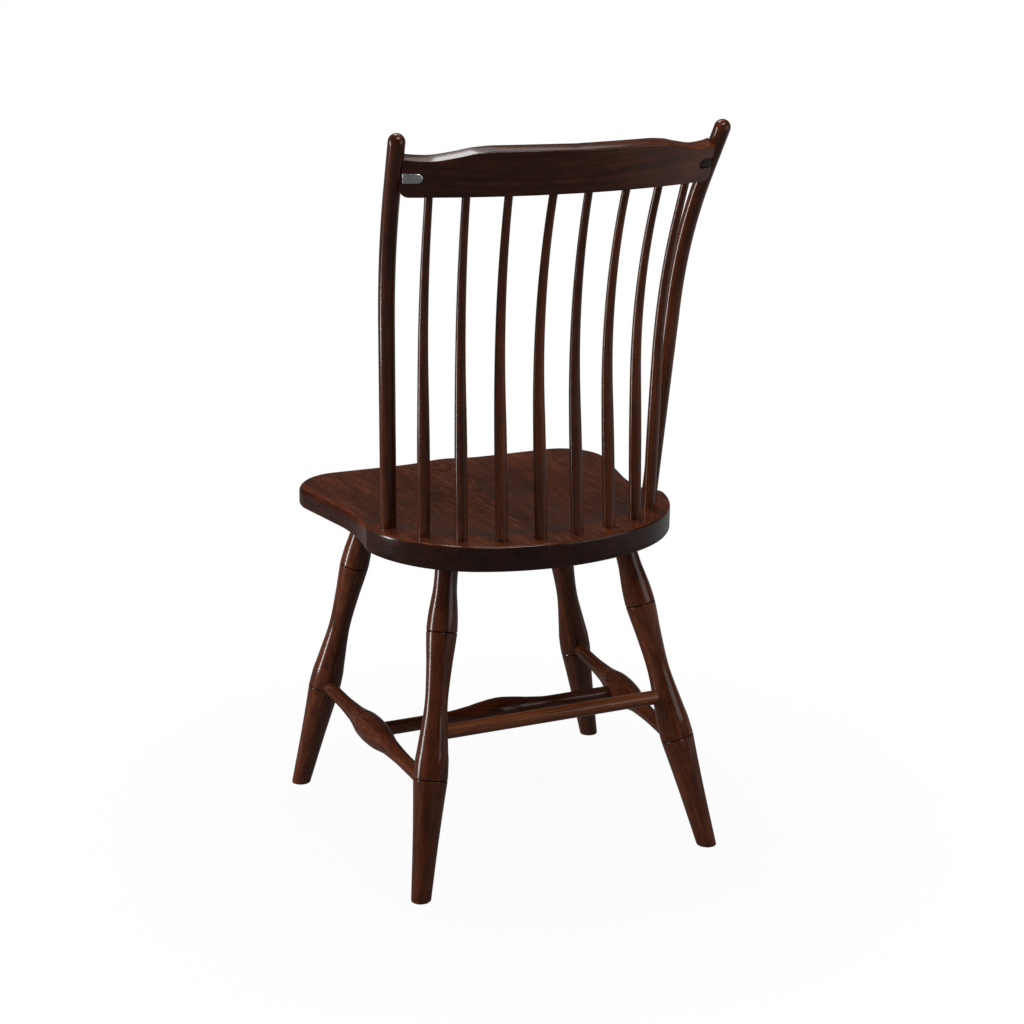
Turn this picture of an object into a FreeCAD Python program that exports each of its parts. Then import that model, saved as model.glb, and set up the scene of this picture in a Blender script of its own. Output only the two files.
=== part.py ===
import math
import os

import FreeCAD
import Part
import Sketcher
from FreeCAD import Placement, Rotation, Vector

# Thumb-back Windsor side chair: a shaped plank seat on four turned and splayed legs with
# H stretchers and a rear stretcher; two bent back posts, eight bent spindles and a bowed
# crest rail above. Millimetres, +Z up, the front of the seat towards -Y, the chair's left
# side towards +X, and the origin on the floor under the middle of the whole chair.

os.makedirs("parts", exist_ok=True)
doc = FreeCAD.newDocument("thumb_back_side_chair")

# Driving dimensions. Heights are above the floor, and a rise is above the seat or above the
# lower edge of the crest rail. Depths (y) are from the middle between the front and the
# rear feet and are positive towards the back. Names that end in _at are stations along a
# turned piece, measured from its lower or front end. Names that end in _share are shares
# of the seat's height: stations along a leg, and the heights of the stretchers.
SIZES = {
    # Seat plank
    "seat_height": 448.0,
    "seat_slope": 1.2,
    "seat_thickness": 33.2,
    "rim_back": 197.0,
    "rim_arc_radius": 292.0,
    "rim_change_x": 108.0,
    "shoulder_x": 211.0,
    "shoulder_y": 46.0,
    "waist_x": 204.8,
    "waist_y": -20.0,
    "flank_x": 208.0,
    "flank_y": -60.0,
    "flank_angle": 12.0,
    "front_corner_radius": 66.0,
    "front_corner_x": 161.8,
    "seat_front": 230.4,
    "seat_edge_radius": 4.0,
    "seat_under_radius": 3.0,
    "seat_front_roll": 9.0,
    # Saddle: how far the sitting surface lies under the flat rear deck
    "saddle_fall": 7.0,
    "saddle_allowance": 6.0,
    "saddle_margin": 24.6,
    "saddle_rear": 155.0,
    "saddle_half_width": 190.0,
    "saddle_side_start": 40.0,
    "saddle_ramp": 55.0,
    "hollow_depth": 6.5,
    "hollow_x": 74.0,
    "hollow_y": -20.0,
    "hollow_width": 52.0,
    "hollow_length": 120.0,
    "pommel_rise": 2.5,
    "pommel_width": 30.0,
    # Joints
    "glue_gap": 0.12,
    "end_gap": 0.6,
    "leg_tenon": 18.0,
    "post_tenon": 24.0,
    "spindle_tenon": 20.0,
    "stretcher_tip": 7.0,
    # Legs
    "front_foot_x": 227.6,
    "front_foot_y": -206.5,
    "front_splay": 0.2220,
    "front_rake": 0.128,
    "rear_foot_x": 203.8,
    "rear_foot_y": 204.2,
    "rear_splay": 0.1981,
    "rear_rake": -0.2545,
    "foot_d": 25.4,
    "foot_chamfer": 1.2,
    "calf_share": 0.16964,
    "calf_d": 33.2,
    "low_ring_share": 0.33929,
    "low_ring_d": 44.0,
    "low_shoulder_share": 0.38839,
    "low_shoulder_d": 42.9,
    "shin_share": 0.43080,
    "shin_d": 38.8,
    "ankle_share": 0.56250,
    "ankle_d": 29.2,
    "knee_share": 0.66518,
    "knee_d": 33.4,
    "swell_share": 0.70982,
    "swell_d": 36.8,
    "high_ring_share": 0.75446,
    "high_ring_d": 39.6,
    "high_shoulder_share": 0.79464,
    "high_shoulder_d": 38.2,
    "thigh_share": 0.84152,
    "thigh_d": 33.8,
    "neck_share": 0.87277,
    "neck_d": 30.5,
    "collar_share": 0.90402,
    "collar_d": 29.5,
    "groove_width": 2.6,
    "groove_depth": 1.1,
    # Stretchers
    "side_front_share": 0.33795,
    "side_rear_share": 0.30469,
    "side_end_d": 19.2,
    "side_front_swell_at": 60.0,
    "side_front_cup_at": 111.0,
    "side_cup_d": 23.9,
    "side_ring_at": 148.0,
    "side_ring_d": 35.2,
    "side_joint_at": 165.0,
    "side_bulge_at": 172.0,
    "side_bulge_d": 37.8,
    "side_rear_shoulder_at": 196.0,
    "side_rear_cup_at": 231.0,
    "side_rear_swell_at": 282.0,
    "centre_drop": 4.6,
    "centre_end_d": 19.0,
    "centre_neck_from_middle": 76.0,
    "centre_cup_from_middle": 45.0,
    "centre_cup_d": 24.8,
    "centre_shoulder_from_middle": 25.0,
    "centre_shoulder_d": 31.2,
    "centre_bulge_d": 36.0,
    "rear_stretcher_share": 0.44464,
    "rear_stretcher_d": 18.9,
    # Back posts
    "post_d": 20.6,
    "post_foot_x": 184.7,
    "post_foot_y": 55.8,
    "post_knee_x": 199.0,
    "post_knee_forward": 47.38,
    "post_knee_rise": 351.5,
    "post_top_x": 211.5,
    "post_top_back": 27.92,
    "post_top_rise": 66.3,
    "post_bend_radius": 500.0,
    # Spindles, numbered from the middle pair outwards
    "spindle_inset": 26.2,
    "spindle_pitch": 50.0,
    "spindle_foot_d": 15.8,
    "spindle_belly_at": 95.0,
    "spindle_belly_d": 16.1,
    "spindle_waist_at": 250.0,
    "spindle_waist_d": 12.6,
    "spindle_top_d": 10.2,
    "spindle_bend_radius": 700.0,
    "knee_1_x": 23.8,
    "knee_1_y": 152.0,
    "knee_1_rise": 296.0,
    "top_1_x": 22.9,
    "top_1_forward": 0.9,
    "knee_2_x": 71.8,
    "knee_2_y": 145.7,
    "knee_2_rise": 294.0,
    "top_2_x": 76.7,
    "top_2_forward": 3.0,
    "knee_3_x": 118.4,
    "knee_3_y": 136.1,
    "knee_3_rise": 294.5,
    "top_3_x": 126.1,
    "top_3_forward": 2.8,
    "knee_4_x": 160.8,
    "knee_4_y": 122.2,
    "knee_4_rise": 294.0,
    "top_4_x": 168.5,
    "top_4_forward": -0.4,
    # Crest rail
    "crest_back": 207.5,
    "crest_base_rise": 425.7,
    "crest_lean": 18.0,
    "crest_thickness": 20.0,
    "crest_bow_radius": 465.0,
    "crest_end_x": 203.5,
    "crest_end_rise": 48.0,
    "crest_dip_x": 174.0,
    "crest_dip_rise": 45.4,
    "crest_turn_x": 143.0,
    "crest_turn_rise": 50.3,
    "crest_brow_x": 122.0,
    "crest_brow_rise": 55.0,
    "crest_crown_x": 98.0,
    "crest_crown_rise": 56.9,
    "crest_middle_rise": 56.1,
    "crest_corner_radius": 11.0,
    "post_cope_gap": 0.15,
    # Steel plates let into the back of the crest rail at its ends
    "plate_rise": 24.4,
    "plate_height": 12.6,
    "plate_length": 24.0,
    "plate_thickness": 2.6,
    "plate_bevel": 1.1,
    "plate_recess": 0.4,
    "plate_gap": 0.15,
}

sheet = doc.addObject("Spreadsheet::Sheet", "Sizes")


def add_cell(name, number):
    """Put a number in the sheet under its own alias."""
    row = add_cell.rows
    sheet.set("A%d" % row, name)
    sheet.set("B%d" % row, repr(round(number, 6)))
    sheet.setAlias("B%d" % row, name)
    add_cell.rows = row + 1


add_cell.rows = 1
for size_name, size_number in SIZES.items():
    add_cell(size_name, size_number)


def derive(name, number):
    """A size that follows from the driving ones, kept in the sheet beside them."""
    SIZES[name] = number
    add_cell(name, number)
    return number


def size(name):
    return SIZES[name]


# Coordinates in sketches are sheet names: "foot_d/2" is half of a cell, "-waist_x" its
# mirror image, and an empty name lies on the axis.
def split(coordinate):
    sign = -1.0 if coordinate.startswith("-") else 1.0
    name = coordinate.lstrip("-")
    share = 1.0
    if name.endswith("/2"):
        name = name[:-2]
        share = 0.5
    return name, sign * share


def number_of(coordinate):
    if not coordinate:
        return 0.0
    name, factor = split(coordinate)
    return size(name) * factor


def expression_of(coordinate):
    name, factor = split(coordinate)
    return "Sizes.%s * %g" % (name, factor)


def body_named(label):
    body = doc.addObject("PartDesign::Body", label)
    body.Label = label
    return body


def sketch_on(body, name, role, offset=None):
    """A sketch on one of the body's own origin planes."""
    sketch = body.newObject("Sketcher::SketchObject", name)
    plane = next(item for item in body.Origin.OriginFeatures if item.Role == role)
    sketch.AttachmentSupport = [(plane, "")]
    sketch.MapMode = "FlatFace"
    if offset is not None:
        sketch.AttachmentOffset = offset
    return sketch


def bind(sketch, constraint, text):
    index = sketch.addConstraint(constraint)
    sketch.setExpression("Constraints[%d]" % index, text)


def hold(sketch, geometry, end, point):
    """Tie one end of a sketch edge to its two sheet coordinates."""
    for kind, axis, coordinate in (("DistanceX", -2, point[0]), ("DistanceY", -1, point[1])):
        if coordinate:
            held = Sketcher.Constraint(kind, -1, 1, geometry, end, number_of(coordinate))
            bind(sketch, held, expression_of(coordinate))
        else:
            sketch.addConstraint(Sketcher.Constraint("PointOnObject", geometry, end, axis))


def flat(point):
    return Vector(number_of(point[0]), number_of(point[1]), 0)


def outline(sketch, start, steps):
    """Draw a closed outline. Each step is an end point, with a middle point for an arc."""
    here = start
    edges = []
    for step in steps:
        end = step[-1]
        if len(step) == 1:
            edge = sketch.addGeometry(Part.LineSegment(flat(here), flat(end)))
            ends = (1, 2)
        else:
            middle = step[0]
            first, second = flat(middle) - flat(here), flat(end) - flat(middle)
            counterclockwise = first.x * second.y - first.y * second.x > 0
            if counterclockwise:
                edge = sketch.addGeometry(Part.Arc(flat(here), flat(middle), flat(end)))
                ends = (1, 2)
            else:
                edge = sketch.addGeometry(Part.Arc(flat(end), flat(middle), flat(here)))
                ends = (2, 1)
            mark = sketch.addGeometry(Part.Point(flat(middle)), True)
            hold(sketch, mark, 1, middle)
            sketch.addConstraint(Sketcher.Constraint("PointOnObject", mark, 1, edge))
        hold(sketch, edge, ends[1], end)
        edges.append((edge, ends))
        here = end
    for (edge, ends), (after, after_ends) in zip(edges, edges[1:] + edges[:1]):
        sketch.addConstraint(Sketcher.Constraint("Coincident", edge, ends[1], after, after_ends[0]))
    return sketch


def circle(body, name, diameter, offset):
    """A round section of a rod, square to the body's XY plane unless turned."""
    sketch = sketch_on(body, name, "XY_Plane", offset)
    edge = sketch.addGeometry(Part.Circle(Vector(0, 0, 0), Vector(0, 0, 1), size(diameter) / 2))
    sketch.addConstraint(Sketcher.Constraint("Coincident", edge, 3, -1, 1))
    bind(sketch, Sketcher.Constraint("Diameter", edge, size(diameter)), "Sizes." + diameter)
    return sketch


def turned(label, start, steps):
    """A piece turned about its own Z axis from half of its outline."""
    body = body_named(label)
    profile = outline(sketch_on(body, label + "_profile", "XZ_Plane"), start, steps)
    turning = body.newObject("PartDesign::Revolution", label + "_turning")
    turning.Profile = profile
    turning.ReferenceAxis = (profile, ["V_Axis"])
    turning.Angle = 360
    body.Tip = turning
    return body


# The origin sits under the middle of the whole chair: between the front edge of the seat
# and the upper back edge of the crest rail.
SLOPE = math.radians(size("seat_slope"))
LEAN = math.radians(size("crest_lean"))
CREST_BASE = derive("crest_base", size("seat_height") + size("crest_base_rise"))
crest_reach = size("crest_back") + size("crest_middle_rise") * math.sin(LEAN)
seat_reach = size("seat_front") * math.cos(SLOPE)
seat_reach += (size("seat_thickness") - size("seat_under_radius")) * math.sin(SLOPE)
MIDDLE_Y = (crest_reach - seat_reach) / 2


def point(x, y, z):
    """A place on the chair, in the frame of the whole part."""
    return Vector(x, y - MIDDLE_Y, z)


UP = Vector(0, 0, 1)
DOWN = Vector(0, 0, -1)


def along(start, end, hint=Vector(1, 0, 0)):
    """A placement at start, with its Z axis towards end and its X axis near hint."""
    z_way = (end - start).normalize()
    x_way = (hint - z_way * hint.dot(z_way)).normalize()
    y_way = z_way.cross(x_way)
    return Placement(start, Rotation(x_way, y_way, z_way, "ZXY"))


def cylinder(name, start, end, diameter, gap="glue_gap"):
    """A boring bar for one joint, wider than its tenon by the glue gap."""
    bar = doc.addObject("Part::Cylinder", name)
    bar.setExpression("Radius", "Sizes.%s / 2 + Sizes.%s" % (diameter, gap))
    bar.Height = (end - start).Length
    across = Vector(1, 0, 0) if abs((end - start).x) < bar.Height.Value * 0.9 else UP
    bar.Placement = along(start, end, across)
    return bar


def cut(label, blank, tools):
    """The finished piece: its blank less all its joint sockets."""
    if len(tools) > 1:
        tool = doc.addObject("Part::MultiFuse", label + "_sockets")
        tool.Shapes = tools
    else:
        tool = tools[0]
    piece = doc.addObject("Part::Cut", label + "_cut")
    piece.Base = blank
    piece.Tool = tool
    return piece


pieces = []


def finish(piece, label):
    piece.Label = label
    pieces.append(piece)


SIDES = (("left", 1), ("right", -1))


def deck_height(y):
    """Height of the flat rear deck, carried on over the whole seat."""
    return size("seat_height") - y * math.tan(SLOPE)


def seat_frame():
    """Frame of the plank: its origin in the plane of the deck, tilted down to the back."""
    return Placement(point(0, 0, size("seat_height")), Rotation(Vector(1, 0, 0), -size("seat_slope")))


def underside_height(y):
    return deck_height(y) - size("seat_thickness") / math.cos(SLOPE)


# The rear rim is one large arc across the back and a smaller tangent arc round each
# shoulder. The spindles and posts stand on the same curve, moved inwards.
rim_centre_y = size("rim_back") - size("rim_arc_radius")
change_angle = math.asin(size("rim_change_x") / size("rim_arc_radius"))
change_y = rim_centre_y + size("rim_arc_radius") * math.cos(change_angle)
chord = Vector(size("shoulder_x") - size("rim_change_x"), size("shoulder_y") - change_y, 0)
inward = Vector(-math.sin(change_angle), -math.cos(change_angle), 0)
shoulder_radius = chord.Length ** 2 / (2 * chord.dot(inward))
shoulder_centre = Vector(size("rim_change_x"), change_y, 0) + inward * shoulder_radius


def on_rim(run, inset):
    """Point on the rim curve moved in by inset, a run along it from the centre line."""
    middle_radius = size("rim_arc_radius") - inset
    angle = run / middle_radius
    if angle <= change_angle:
        return middle_radius * math.sin(angle), rim_centre_y + middle_radius * math.cos(angle)
    outer_radius = shoulder_radius - inset
    angle = change_angle + (run - middle_radius * change_angle) / outer_radius
    return (shoulder_centre.x + outer_radius * math.sin(angle),
            shoulder_centre.y + outer_radius * math.cos(angle))


def rim_middle_of_shoulder():
    last = math.atan2(size("shoulder_x") - shoulder_centre.x, size("shoulder_y") - shoulder_centre.y)
    angle = (change_angle + last) / 2
    return (shoulder_centre.x + shoulder_radius * math.sin(angle),
            shoulder_centre.y + shoulder_radius * math.cos(angle))


def make_seat_blank():
    derive("rim_change_y", change_y)
    bend_x, bend_y = rim_middle_of_shoulder()
    derive("rim_bend_x", bend_x)
    derive("rim_bend_y", bend_y)
    flank = math.radians(size("flank_angle"))
    radius = size("front_corner_radius")
    corner_y = -size("seat_front") + radius
    derive("corner_side_x", size("front_corner_x") + radius * math.cos(flank))
    derive("corner_side_y", corner_y + radius * math.sin(flank))
    half_turn = (flank - math.pi / 2) / 2
    derive("corner_middle_x", size("front_corner_x") + radius * math.cos(half_turn))
    derive("corner_middle_y", corner_y + radius * math.sin(half_turn))
    body = body_named("seat_blank")
    lift = Placement(Vector(0, 0, size("saddle_allowance")), Rotation())
    sketch = sketch_on(body, "seat_outline", "XY_Plane", lift)
    outline(sketch, ("rim_change_x", "rim_change_y"), [
        (("", "rim_back"), ("-rim_change_x", "rim_change_y")),
        (("-rim_bend_x", "rim_bend_y"), ("-shoulder_x", "shoulder_y")),
        (("-waist_x", "waist_y"), ("-flank_x", "flank_y")),
        (("-corner_side_x", "corner_side_y"),),
        (("-corner_middle_x", "corner_middle_y"), ("-front_corner_x", "-seat_front")),
        (("front_corner_x", "-seat_front"),),
        (("corner_middle_x", "corner_middle_y"), ("corner_side_x", "corner_side_y")),
        (("flank_x", "flank_y"),),
        (("waist_x", "waist_y"), ("shoulder_x", "shoulder_y")),
        (("rim_bend_x", "rim_bend_y"), ("rim_change_x", "rim_change_y")),
    ])
    plank = body.newObject("PartDesign::Pad", "seat_plank")
    plank.Profile = sketch
    plank.Reversed = True
    plank.setExpression("Length", "Sizes.seat_thickness + Sizes.saddle_allowance")
    body.Tip = plank
    body.Placement = seat_frame()
    return body


def smooth(share):
    share = min(max(share, 0.0), 1.0)
    return share * share * (3 - 2 * share)


def saddle_depth(x, y):
    """How far the sitting surface lies under the plane of the rear deck."""
    across = min(abs(x) / size("saddle_half_width"), 1.0)
    start = max(size("saddle_rear") * math.sqrt(1 - across ** 2), size("saddle_side_start"))
    depth = size("saddle_fall") * smooth((start - y) / size("saddle_ramp"))
    for side in (1, -1):
        hollow = ((x - side * size("hollow_x")) / size("hollow_width")) ** 2
        hollow += ((y - size("hollow_y")) / size("hollow_length")) ** 2
        depth += size("hollow_depth") * math.exp(-hollow) * smooth((start - y) / size("saddle_ramp"))
    pommel = (x / size("pommel_width")) ** 2 + ((y + size("seat_front")) / size("hollow_length")) ** 2
    return depth - size("pommel_rise") * math.exp(-pommel)


# Rows of the sitting surface's grid from its middle to each side
SADDLE_ROWS = 17


def make_saddle_tool():
    """Everything above the sitting surface, as one solid to cut away."""
    reach = size("seat_front") + size("saddle_margin")
    places = [reach * (index / SADDLE_ROWS - 1) for index in range(2 * SADDLE_ROWS + 1)]
    grid = [[Vector(x, y, -saddle_depth(x, y)) for y in places] for x in places]
    surface = Part.BSplineSurface()
    surface.interpolate(grid)
    tool = doc.addObject("Part::Feature", "saddle_tool")
    tool.Shape = surface.toShape().extrude(Vector(0, 0, size("seat_thickness")))
    tool.Placement = seat_frame()
    return tool


# Legs
LEG_MARKS = ("calf", "low_ring", "low_shoulder", "shin", "ankle", "knee", "swell",
             "high_ring", "high_shoulder", "thigh", "neck", "collar")


def leg_station(kind, side, z):
    """Point on a leg's axis at height z."""
    x = size(kind + "_foot_x") - size(kind + "_splay") * z
    y = size(kind + "_foot_y") + size(kind + "_rake") * z
    return point(side * x, y, z)


def leg_underside(kind):
    """Height at which a leg's axis meets the underside of the seat."""
    y = size(kind + "_foot_y")
    fall = math.tan(SLOPE)
    return underside_height(y) / (1 + size(kind + "_rake") * fall)


def leg_scale(kind):
    """Length along the leg for one unit of height."""
    return math.sqrt(1 + size(kind + "_splay") ** 2 + size(kind + "_rake") ** 2)


def make_leg_blank(kind, place, side):
    label = "leg_%s_%s" % (kind, place)
    length = "leg_%s_length" % kind
    body = turned(label + "_blank", ("", "-leg_waste"), [
        (("foot_d/2", "-leg_waste"),),
        (("calf_d/2", "calf_at"), ("low_ring_d/2", "low_ring_lower")),
        (("low_ring_root_d/2", "low_ring_at"),),
        (("low_ring_d/2", "low_ring_upper"),),
        (("low_shoulder_d/2", "low_shoulder_at"), ("shin_d/2", "shin_at")),
        (("ankle_d/2", "ankle_at"), ("knee_d/2", "knee_at")),
        (("swell_d/2", "swell_at"), ("high_ring_d/2", "high_ring_lower")),
        (("high_ring_root_d/2", "high_ring_at"),),
        (("high_ring_d/2", "high_ring_upper"),),
        (("high_shoulder_d/2", "high_shoulder_at"), ("thigh_d/2", "thigh_at")),
        (("neck_d/2", "neck_at"), ("collar_d/2", "collar_at")),
        (("collar_d/2", length),),
        (("", length),),
        (("", "-leg_waste"),),
    ])
    body.Placement = along(leg_station(kind, side, 0), leg_station(kind, side, size(length)))
    return body


def ring_cells(name):
    """The V-groove scored round a turning: its two lips and its root."""
    derive(name + "_lower", size(name + "_at") - size("groove_width") / 2)
    derive(name + "_upper", size(name + "_at") + size("groove_width") / 2)
    derive(name + "_root_d", size(name + "_d") - 2 * size("groove_depth"))


def floor_block():
    """All below the floor, which trims the feet level."""
    half = size("front_foot_x") + size("low_ring_d")
    block = doc.addObject("Part::Box", "floor_block")
    block.Length = 2 * half
    block.Width = 2 * half
    block.setExpression("Height", "Sizes.leg_waste * 2")
    block.Placement = Placement(Vector(-half, -half, -size("leg_waste") * 2), Rotation())
    return block


# Stretchers run from axis to axis of the pieces they join and stop short of the axes.
def side_stretcher_ends(side):
    return (leg_station("front", side, size("side_front_share") * size("seat_height")),
            leg_station("rear", side, size("side_rear_share") * size("seat_height")))


def rear_stretcher_end(side):
    return leg_station("rear", side, size("rear_stretcher_share") * size("seat_height"))


def side_joint(side):
    """End of the centre stretcher's axis, a little under the axis of a side stretcher."""
    start, end = side_stretcher_ends(side)
    return start + (end - start).normalize() * size("side_joint_at") + DOWN * size("centre_drop")


def make_side_stretcher_blank(place, side):
    start, end = side_stretcher_ends(side)
    body = turned("side_stretcher_%s_blank" % place, ("", "stretcher_tip"), [
        (("side_end_d/2", "stretcher_tip"),),
        (("side_end_d/2", "side_front_swell_at"),),
        (("side_cup_d/2", "side_front_cup_at"), ("side_ring_d/2", "side_ring_lower")),
        (("side_ring_root_d/2", "side_ring_at"),),
        (("side_ring_d/2", "side_ring_upper"),),
        (("side_bulge_d/2", "side_bulge_at"), ("side_ring_d/2", "side_rear_shoulder_at")),
        (("side_cup_d/2", "side_rear_cup_at"), ("side_end_d/2", "side_rear_swell_at")),
        (("side_end_d/2", "side_stretcher_end"),),
        (("", "side_stretcher_end"),),
        (("", "stretcher_tip"),),
    ])
    body.Placement = along(start, end)
    return body


def make_centre_stretcher():
    right, left = side_joint(-1), side_joint(1)
    body = turned("centre_stretcher", ("", "-centre_half_length"), [
        (("centre_end_d/2", "-centre_half_length"),),
        (("centre_end_d/2", "-centre_neck_from_middle"),),
        (("centre_cup_d/2", "-centre_cup_from_middle"),
         ("centre_shoulder_d/2", "-centre_shoulder_from_middle")),
        (("centre_bulge_d/2", ""), ("centre_shoulder_d/2", "centre_shoulder_from_middle")),
        (("centre_cup_d/2", "centre_cup_from_middle"), ("centre_end_d/2", "centre_neck_from_middle")),
        (("centre_end_d/2", "centre_half_length"),),
        (("", "centre_half_length"),),
        (("", "-centre_half_length"),),
    ])
    body.Placement = along((left + right) / 2, left, UP)
    return body


def make_rear_stretcher():
    """A plain round rod between the two rear legs."""
    right, left = rear_stretcher_end(-1), rear_stretcher_end(1)
    rod = doc.addObject("Part::Cylinder", "rear_stretcher")
    rod.setExpression("Radius", "Sizes.rear_stretcher_d / 2")
    rod.Height = (left - right).Length - 2 * size("stretcher_tip")
    rod.Placement = along(right + (left - right).normalize() * size("stretcher_tip"), left, UP)
    return rod


def stretcher_socket(name, start, end, diameter):
    """Socket round the end of a stretcher that starts at start, as deep as its tip."""
    way = (end - start).normalize()
    inner = start + way * (size("stretcher_tip") - size("end_gap"))
    outer = start + way * size("low_ring_d")
    return cylinder(name, inner, outer, diameter)


# Bent rods: straight below, an even bend at the knee, straight above. The path lies in
# the body's XZ plane, with the lower straight along Z and the bend towards X.
def rod_path(foot, knee, top, radius):
    lower = knee - foot
    upper = top - knee
    turn = lower.getAngle(upper)
    tangent = radius * math.tan(turn / 2)
    return {"turn": turn, "radius": radius, "lower": lower.Length - tangent,
            "upper": upper.Length - tangent, "frame": along(foot, knee, upper)}


def rod_station(path, run):
    """Placement square to the rod, a run along it from its foot."""
    if run <= path["lower"]:
        return Placement(Vector(0, 0, run), Rotation())
    angle = min((run - path["lower"]) / path["radius"], path["turn"])
    x = path["radius"] * (1 - math.cos(angle))
    z = path["lower"] + path["radius"] * math.sin(angle)
    beyond = run - path["lower"] - path["radius"] * angle
    way = Vector(math.sin(angle), 0, math.cos(angle))
    return Placement(Vector(x, 0, z) + way * beyond, Rotation(Vector(0, 1, 0), math.degrees(angle)))


def make_rod(label, path, foot_tenon, head, sections):
    """Sweep round sections along a bent path that starts inside the seat."""
    derive(label + "_lower", path["lower"])
    derive(label + "_rise", 90 - math.degrees(path["turn"]))
    derive(label + "_upper", path["upper"] + head)
    body = body_named(label)
    spine = sketch_on(body, label + "_path", "XZ_Plane")
    last = rod_station(path, path["lower"] + path["radius"] * path["turn"] + path["upper"] + head).Base
    bend = rod_station(path, path["lower"] + path["radius"] * path["turn"]).Base
    low = Vector(0, -size(foot_tenon), 0)
    joint = Vector(0, path["lower"], 0)
    centre = Vector(path["radius"], path["lower"], 0)
    round_bend = Part.Circle(centre, Vector(0, 0, 1), path["radius"])
    arc = Part.ArcOfCircle(round_bend, math.pi - path["turn"], math.pi)
    lower = spine.addGeometry(Part.LineSegment(low, joint))
    bent = spine.addGeometry(arc)
    upper = spine.addGeometry(Part.LineSegment(Vector(bend.x, bend.z, 0), Vector(last.x, last.z, 0)))
    hold(spine, lower, 1, ("", "-" + foot_tenon))
    hold(spine, lower, 2, ("", label + "_lower"))
    spine.addConstraint(Sketcher.Constraint("Tangent", lower, 2, bent, 2))
    spine.addConstraint(Sketcher.Constraint("Tangent", bent, 1, upper, 1))
    radius_name = "post_bend_radius" if "post" in label else "spindle_bend_radius"
    bind(spine, Sketcher.Constraint("Radius", bent, path["radius"]), "Sizes." + radius_name)
    bind(spine, Sketcher.Constraint("Distance", upper, path["upper"] + head), "Sizes.%s_upper" % label)
    bind(spine, Sketcher.Constraint("Angle", upper, math.radians(size(label + "_rise"))),
         "Sizes.%s_rise * 1 deg" % label)
    rounds = []
    for index, (run, diameter) in enumerate(sections):
        rounds.append(circle(body, "%s_round_%d" % (label, index + 1), diameter, rod_station(path, run)))
    pipe = body.newObject("PartDesign::AdditivePipe", label + "_sweep")
    pipe.Profile = rounds[0]
    pipe.Spine = (spine, [])
    if len(rounds) > 1:
        pipe.Transformation = "Multisection"
        pipe.Sections = rounds[1:]
    body.Tip = pipe
    body.Placement = path["frame"]
    return body


def deck_point(side, x, y):
    return point(side * x, y, deck_height(y))


def crest_middle(x):
    """Depth of the crest rail's mid-surface at the height of its lower edge."""
    across = size("crest_thickness") / math.cos(LEAN)
    radius = size("crest_bow_radius")
    middle_radius = radius - across / 2
    return size("crest_back") - radius + math.sqrt(middle_radius ** 2 - x ** 2)


def post_path(side):
    foot = deck_point(side, size("post_foot_x"), size("post_foot_y"))
    crest_end_y = crest_middle(size("crest_end_x"))
    knee = point(side * size("post_knee_x"), crest_end_y - size("post_knee_forward"),
                 size("seat_height") + size("post_knee_rise"))
    top = point(side * size("post_top_x"), crest_end_y + size("post_top_back"),
                CREST_BASE + size("post_top_rise"))
    return rod_path(foot, knee, top, size("post_bend_radius"))


def spindle_path(number, side):
    x, y = on_rim((number - 0.5) * size("spindle_pitch"), size("spindle_inset"))
    foot = deck_point(side, x, y)
    knee_name = "knee_%d_" % number
    knee = point(side * size(knee_name + "x"), size(knee_name + "y"),
                 size("seat_height") + size(knee_name + "rise"))
    top_x = size("top_%d_x" % number)
    top_y = crest_middle(top_x) - size("top_%d_forward" % number)
    top = point(side * top_x, top_y, CREST_BASE)
    return rod_path(foot, knee, top, size("spindle_bend_radius"))


def run_length(path):
    return path["lower"] + path["radius"] * path["turn"] + path["upper"]


def make_post(place, side):
    label = "back_post_" + place
    path = post_path(side)
    body = make_rod(label, path, "post_tenon", 0.0, [(-size("post_tenon"), "post_d")])
    thumb = body.newObject("PartDesign::AdditiveSphere", label + "_thumb")
    plane = next(item for item in body.Origin.OriginFeatures if item.Role == "XY_Plane")
    thumb.AttachmentSupport = [(plane, "")]
    thumb.MapMode = "FlatFace"
    thumb.AttachmentOffset = rod_station(path, run_length(path))
    thumb.setExpression("Radius", "Sizes.post_d / 2")
    body.Tip = thumb
    return body


def make_spindle(number, place, side):
    path = spindle_path(number, side)
    label = "spindle_%s_%d" % (place, number)
    sections = [
        (-size("spindle_tenon"), "spindle_foot_d"),
        (0.0, "spindle_foot_d"),
        (size("spindle_belly_at"), "spindle_belly_d"),
        (size("spindle_waist_at"), "spindle_waist_d"),
        (run_length(path), "spindle_top_d"),
        (run_length(path) + size("spindle_tenon"), "spindle_top_d"),
    ]
    return make_rod(label, path, "spindle_tenon", size("spindle_tenon"), sections)


def rod_socket(name, path, run_from, run_to, diameter):
    frame = path["frame"]
    start = frame.multiply(rod_station(path, run_from)).Base
    end = frame.multiply(rod_station(path, run_to)).Base
    return cylinder(name, start, end, diameter)


# Crest rail: a board bowed to an even arc in plan, leaning back, with its ogee upper edge
# cut square to the leaning faces. The lower back edge is level, so the outline on the
# leaning board drops towards the ends by what the bow takes away.
def bow_drop(x):
    radius = size("crest_bow_radius")
    return (radius - math.sqrt(radius ** 2 - x ** 2)) * math.sin(LEAN)


def edge_cell(name, x_name, rise):
    derive(name, rise - bow_drop(size(x_name)))


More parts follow.
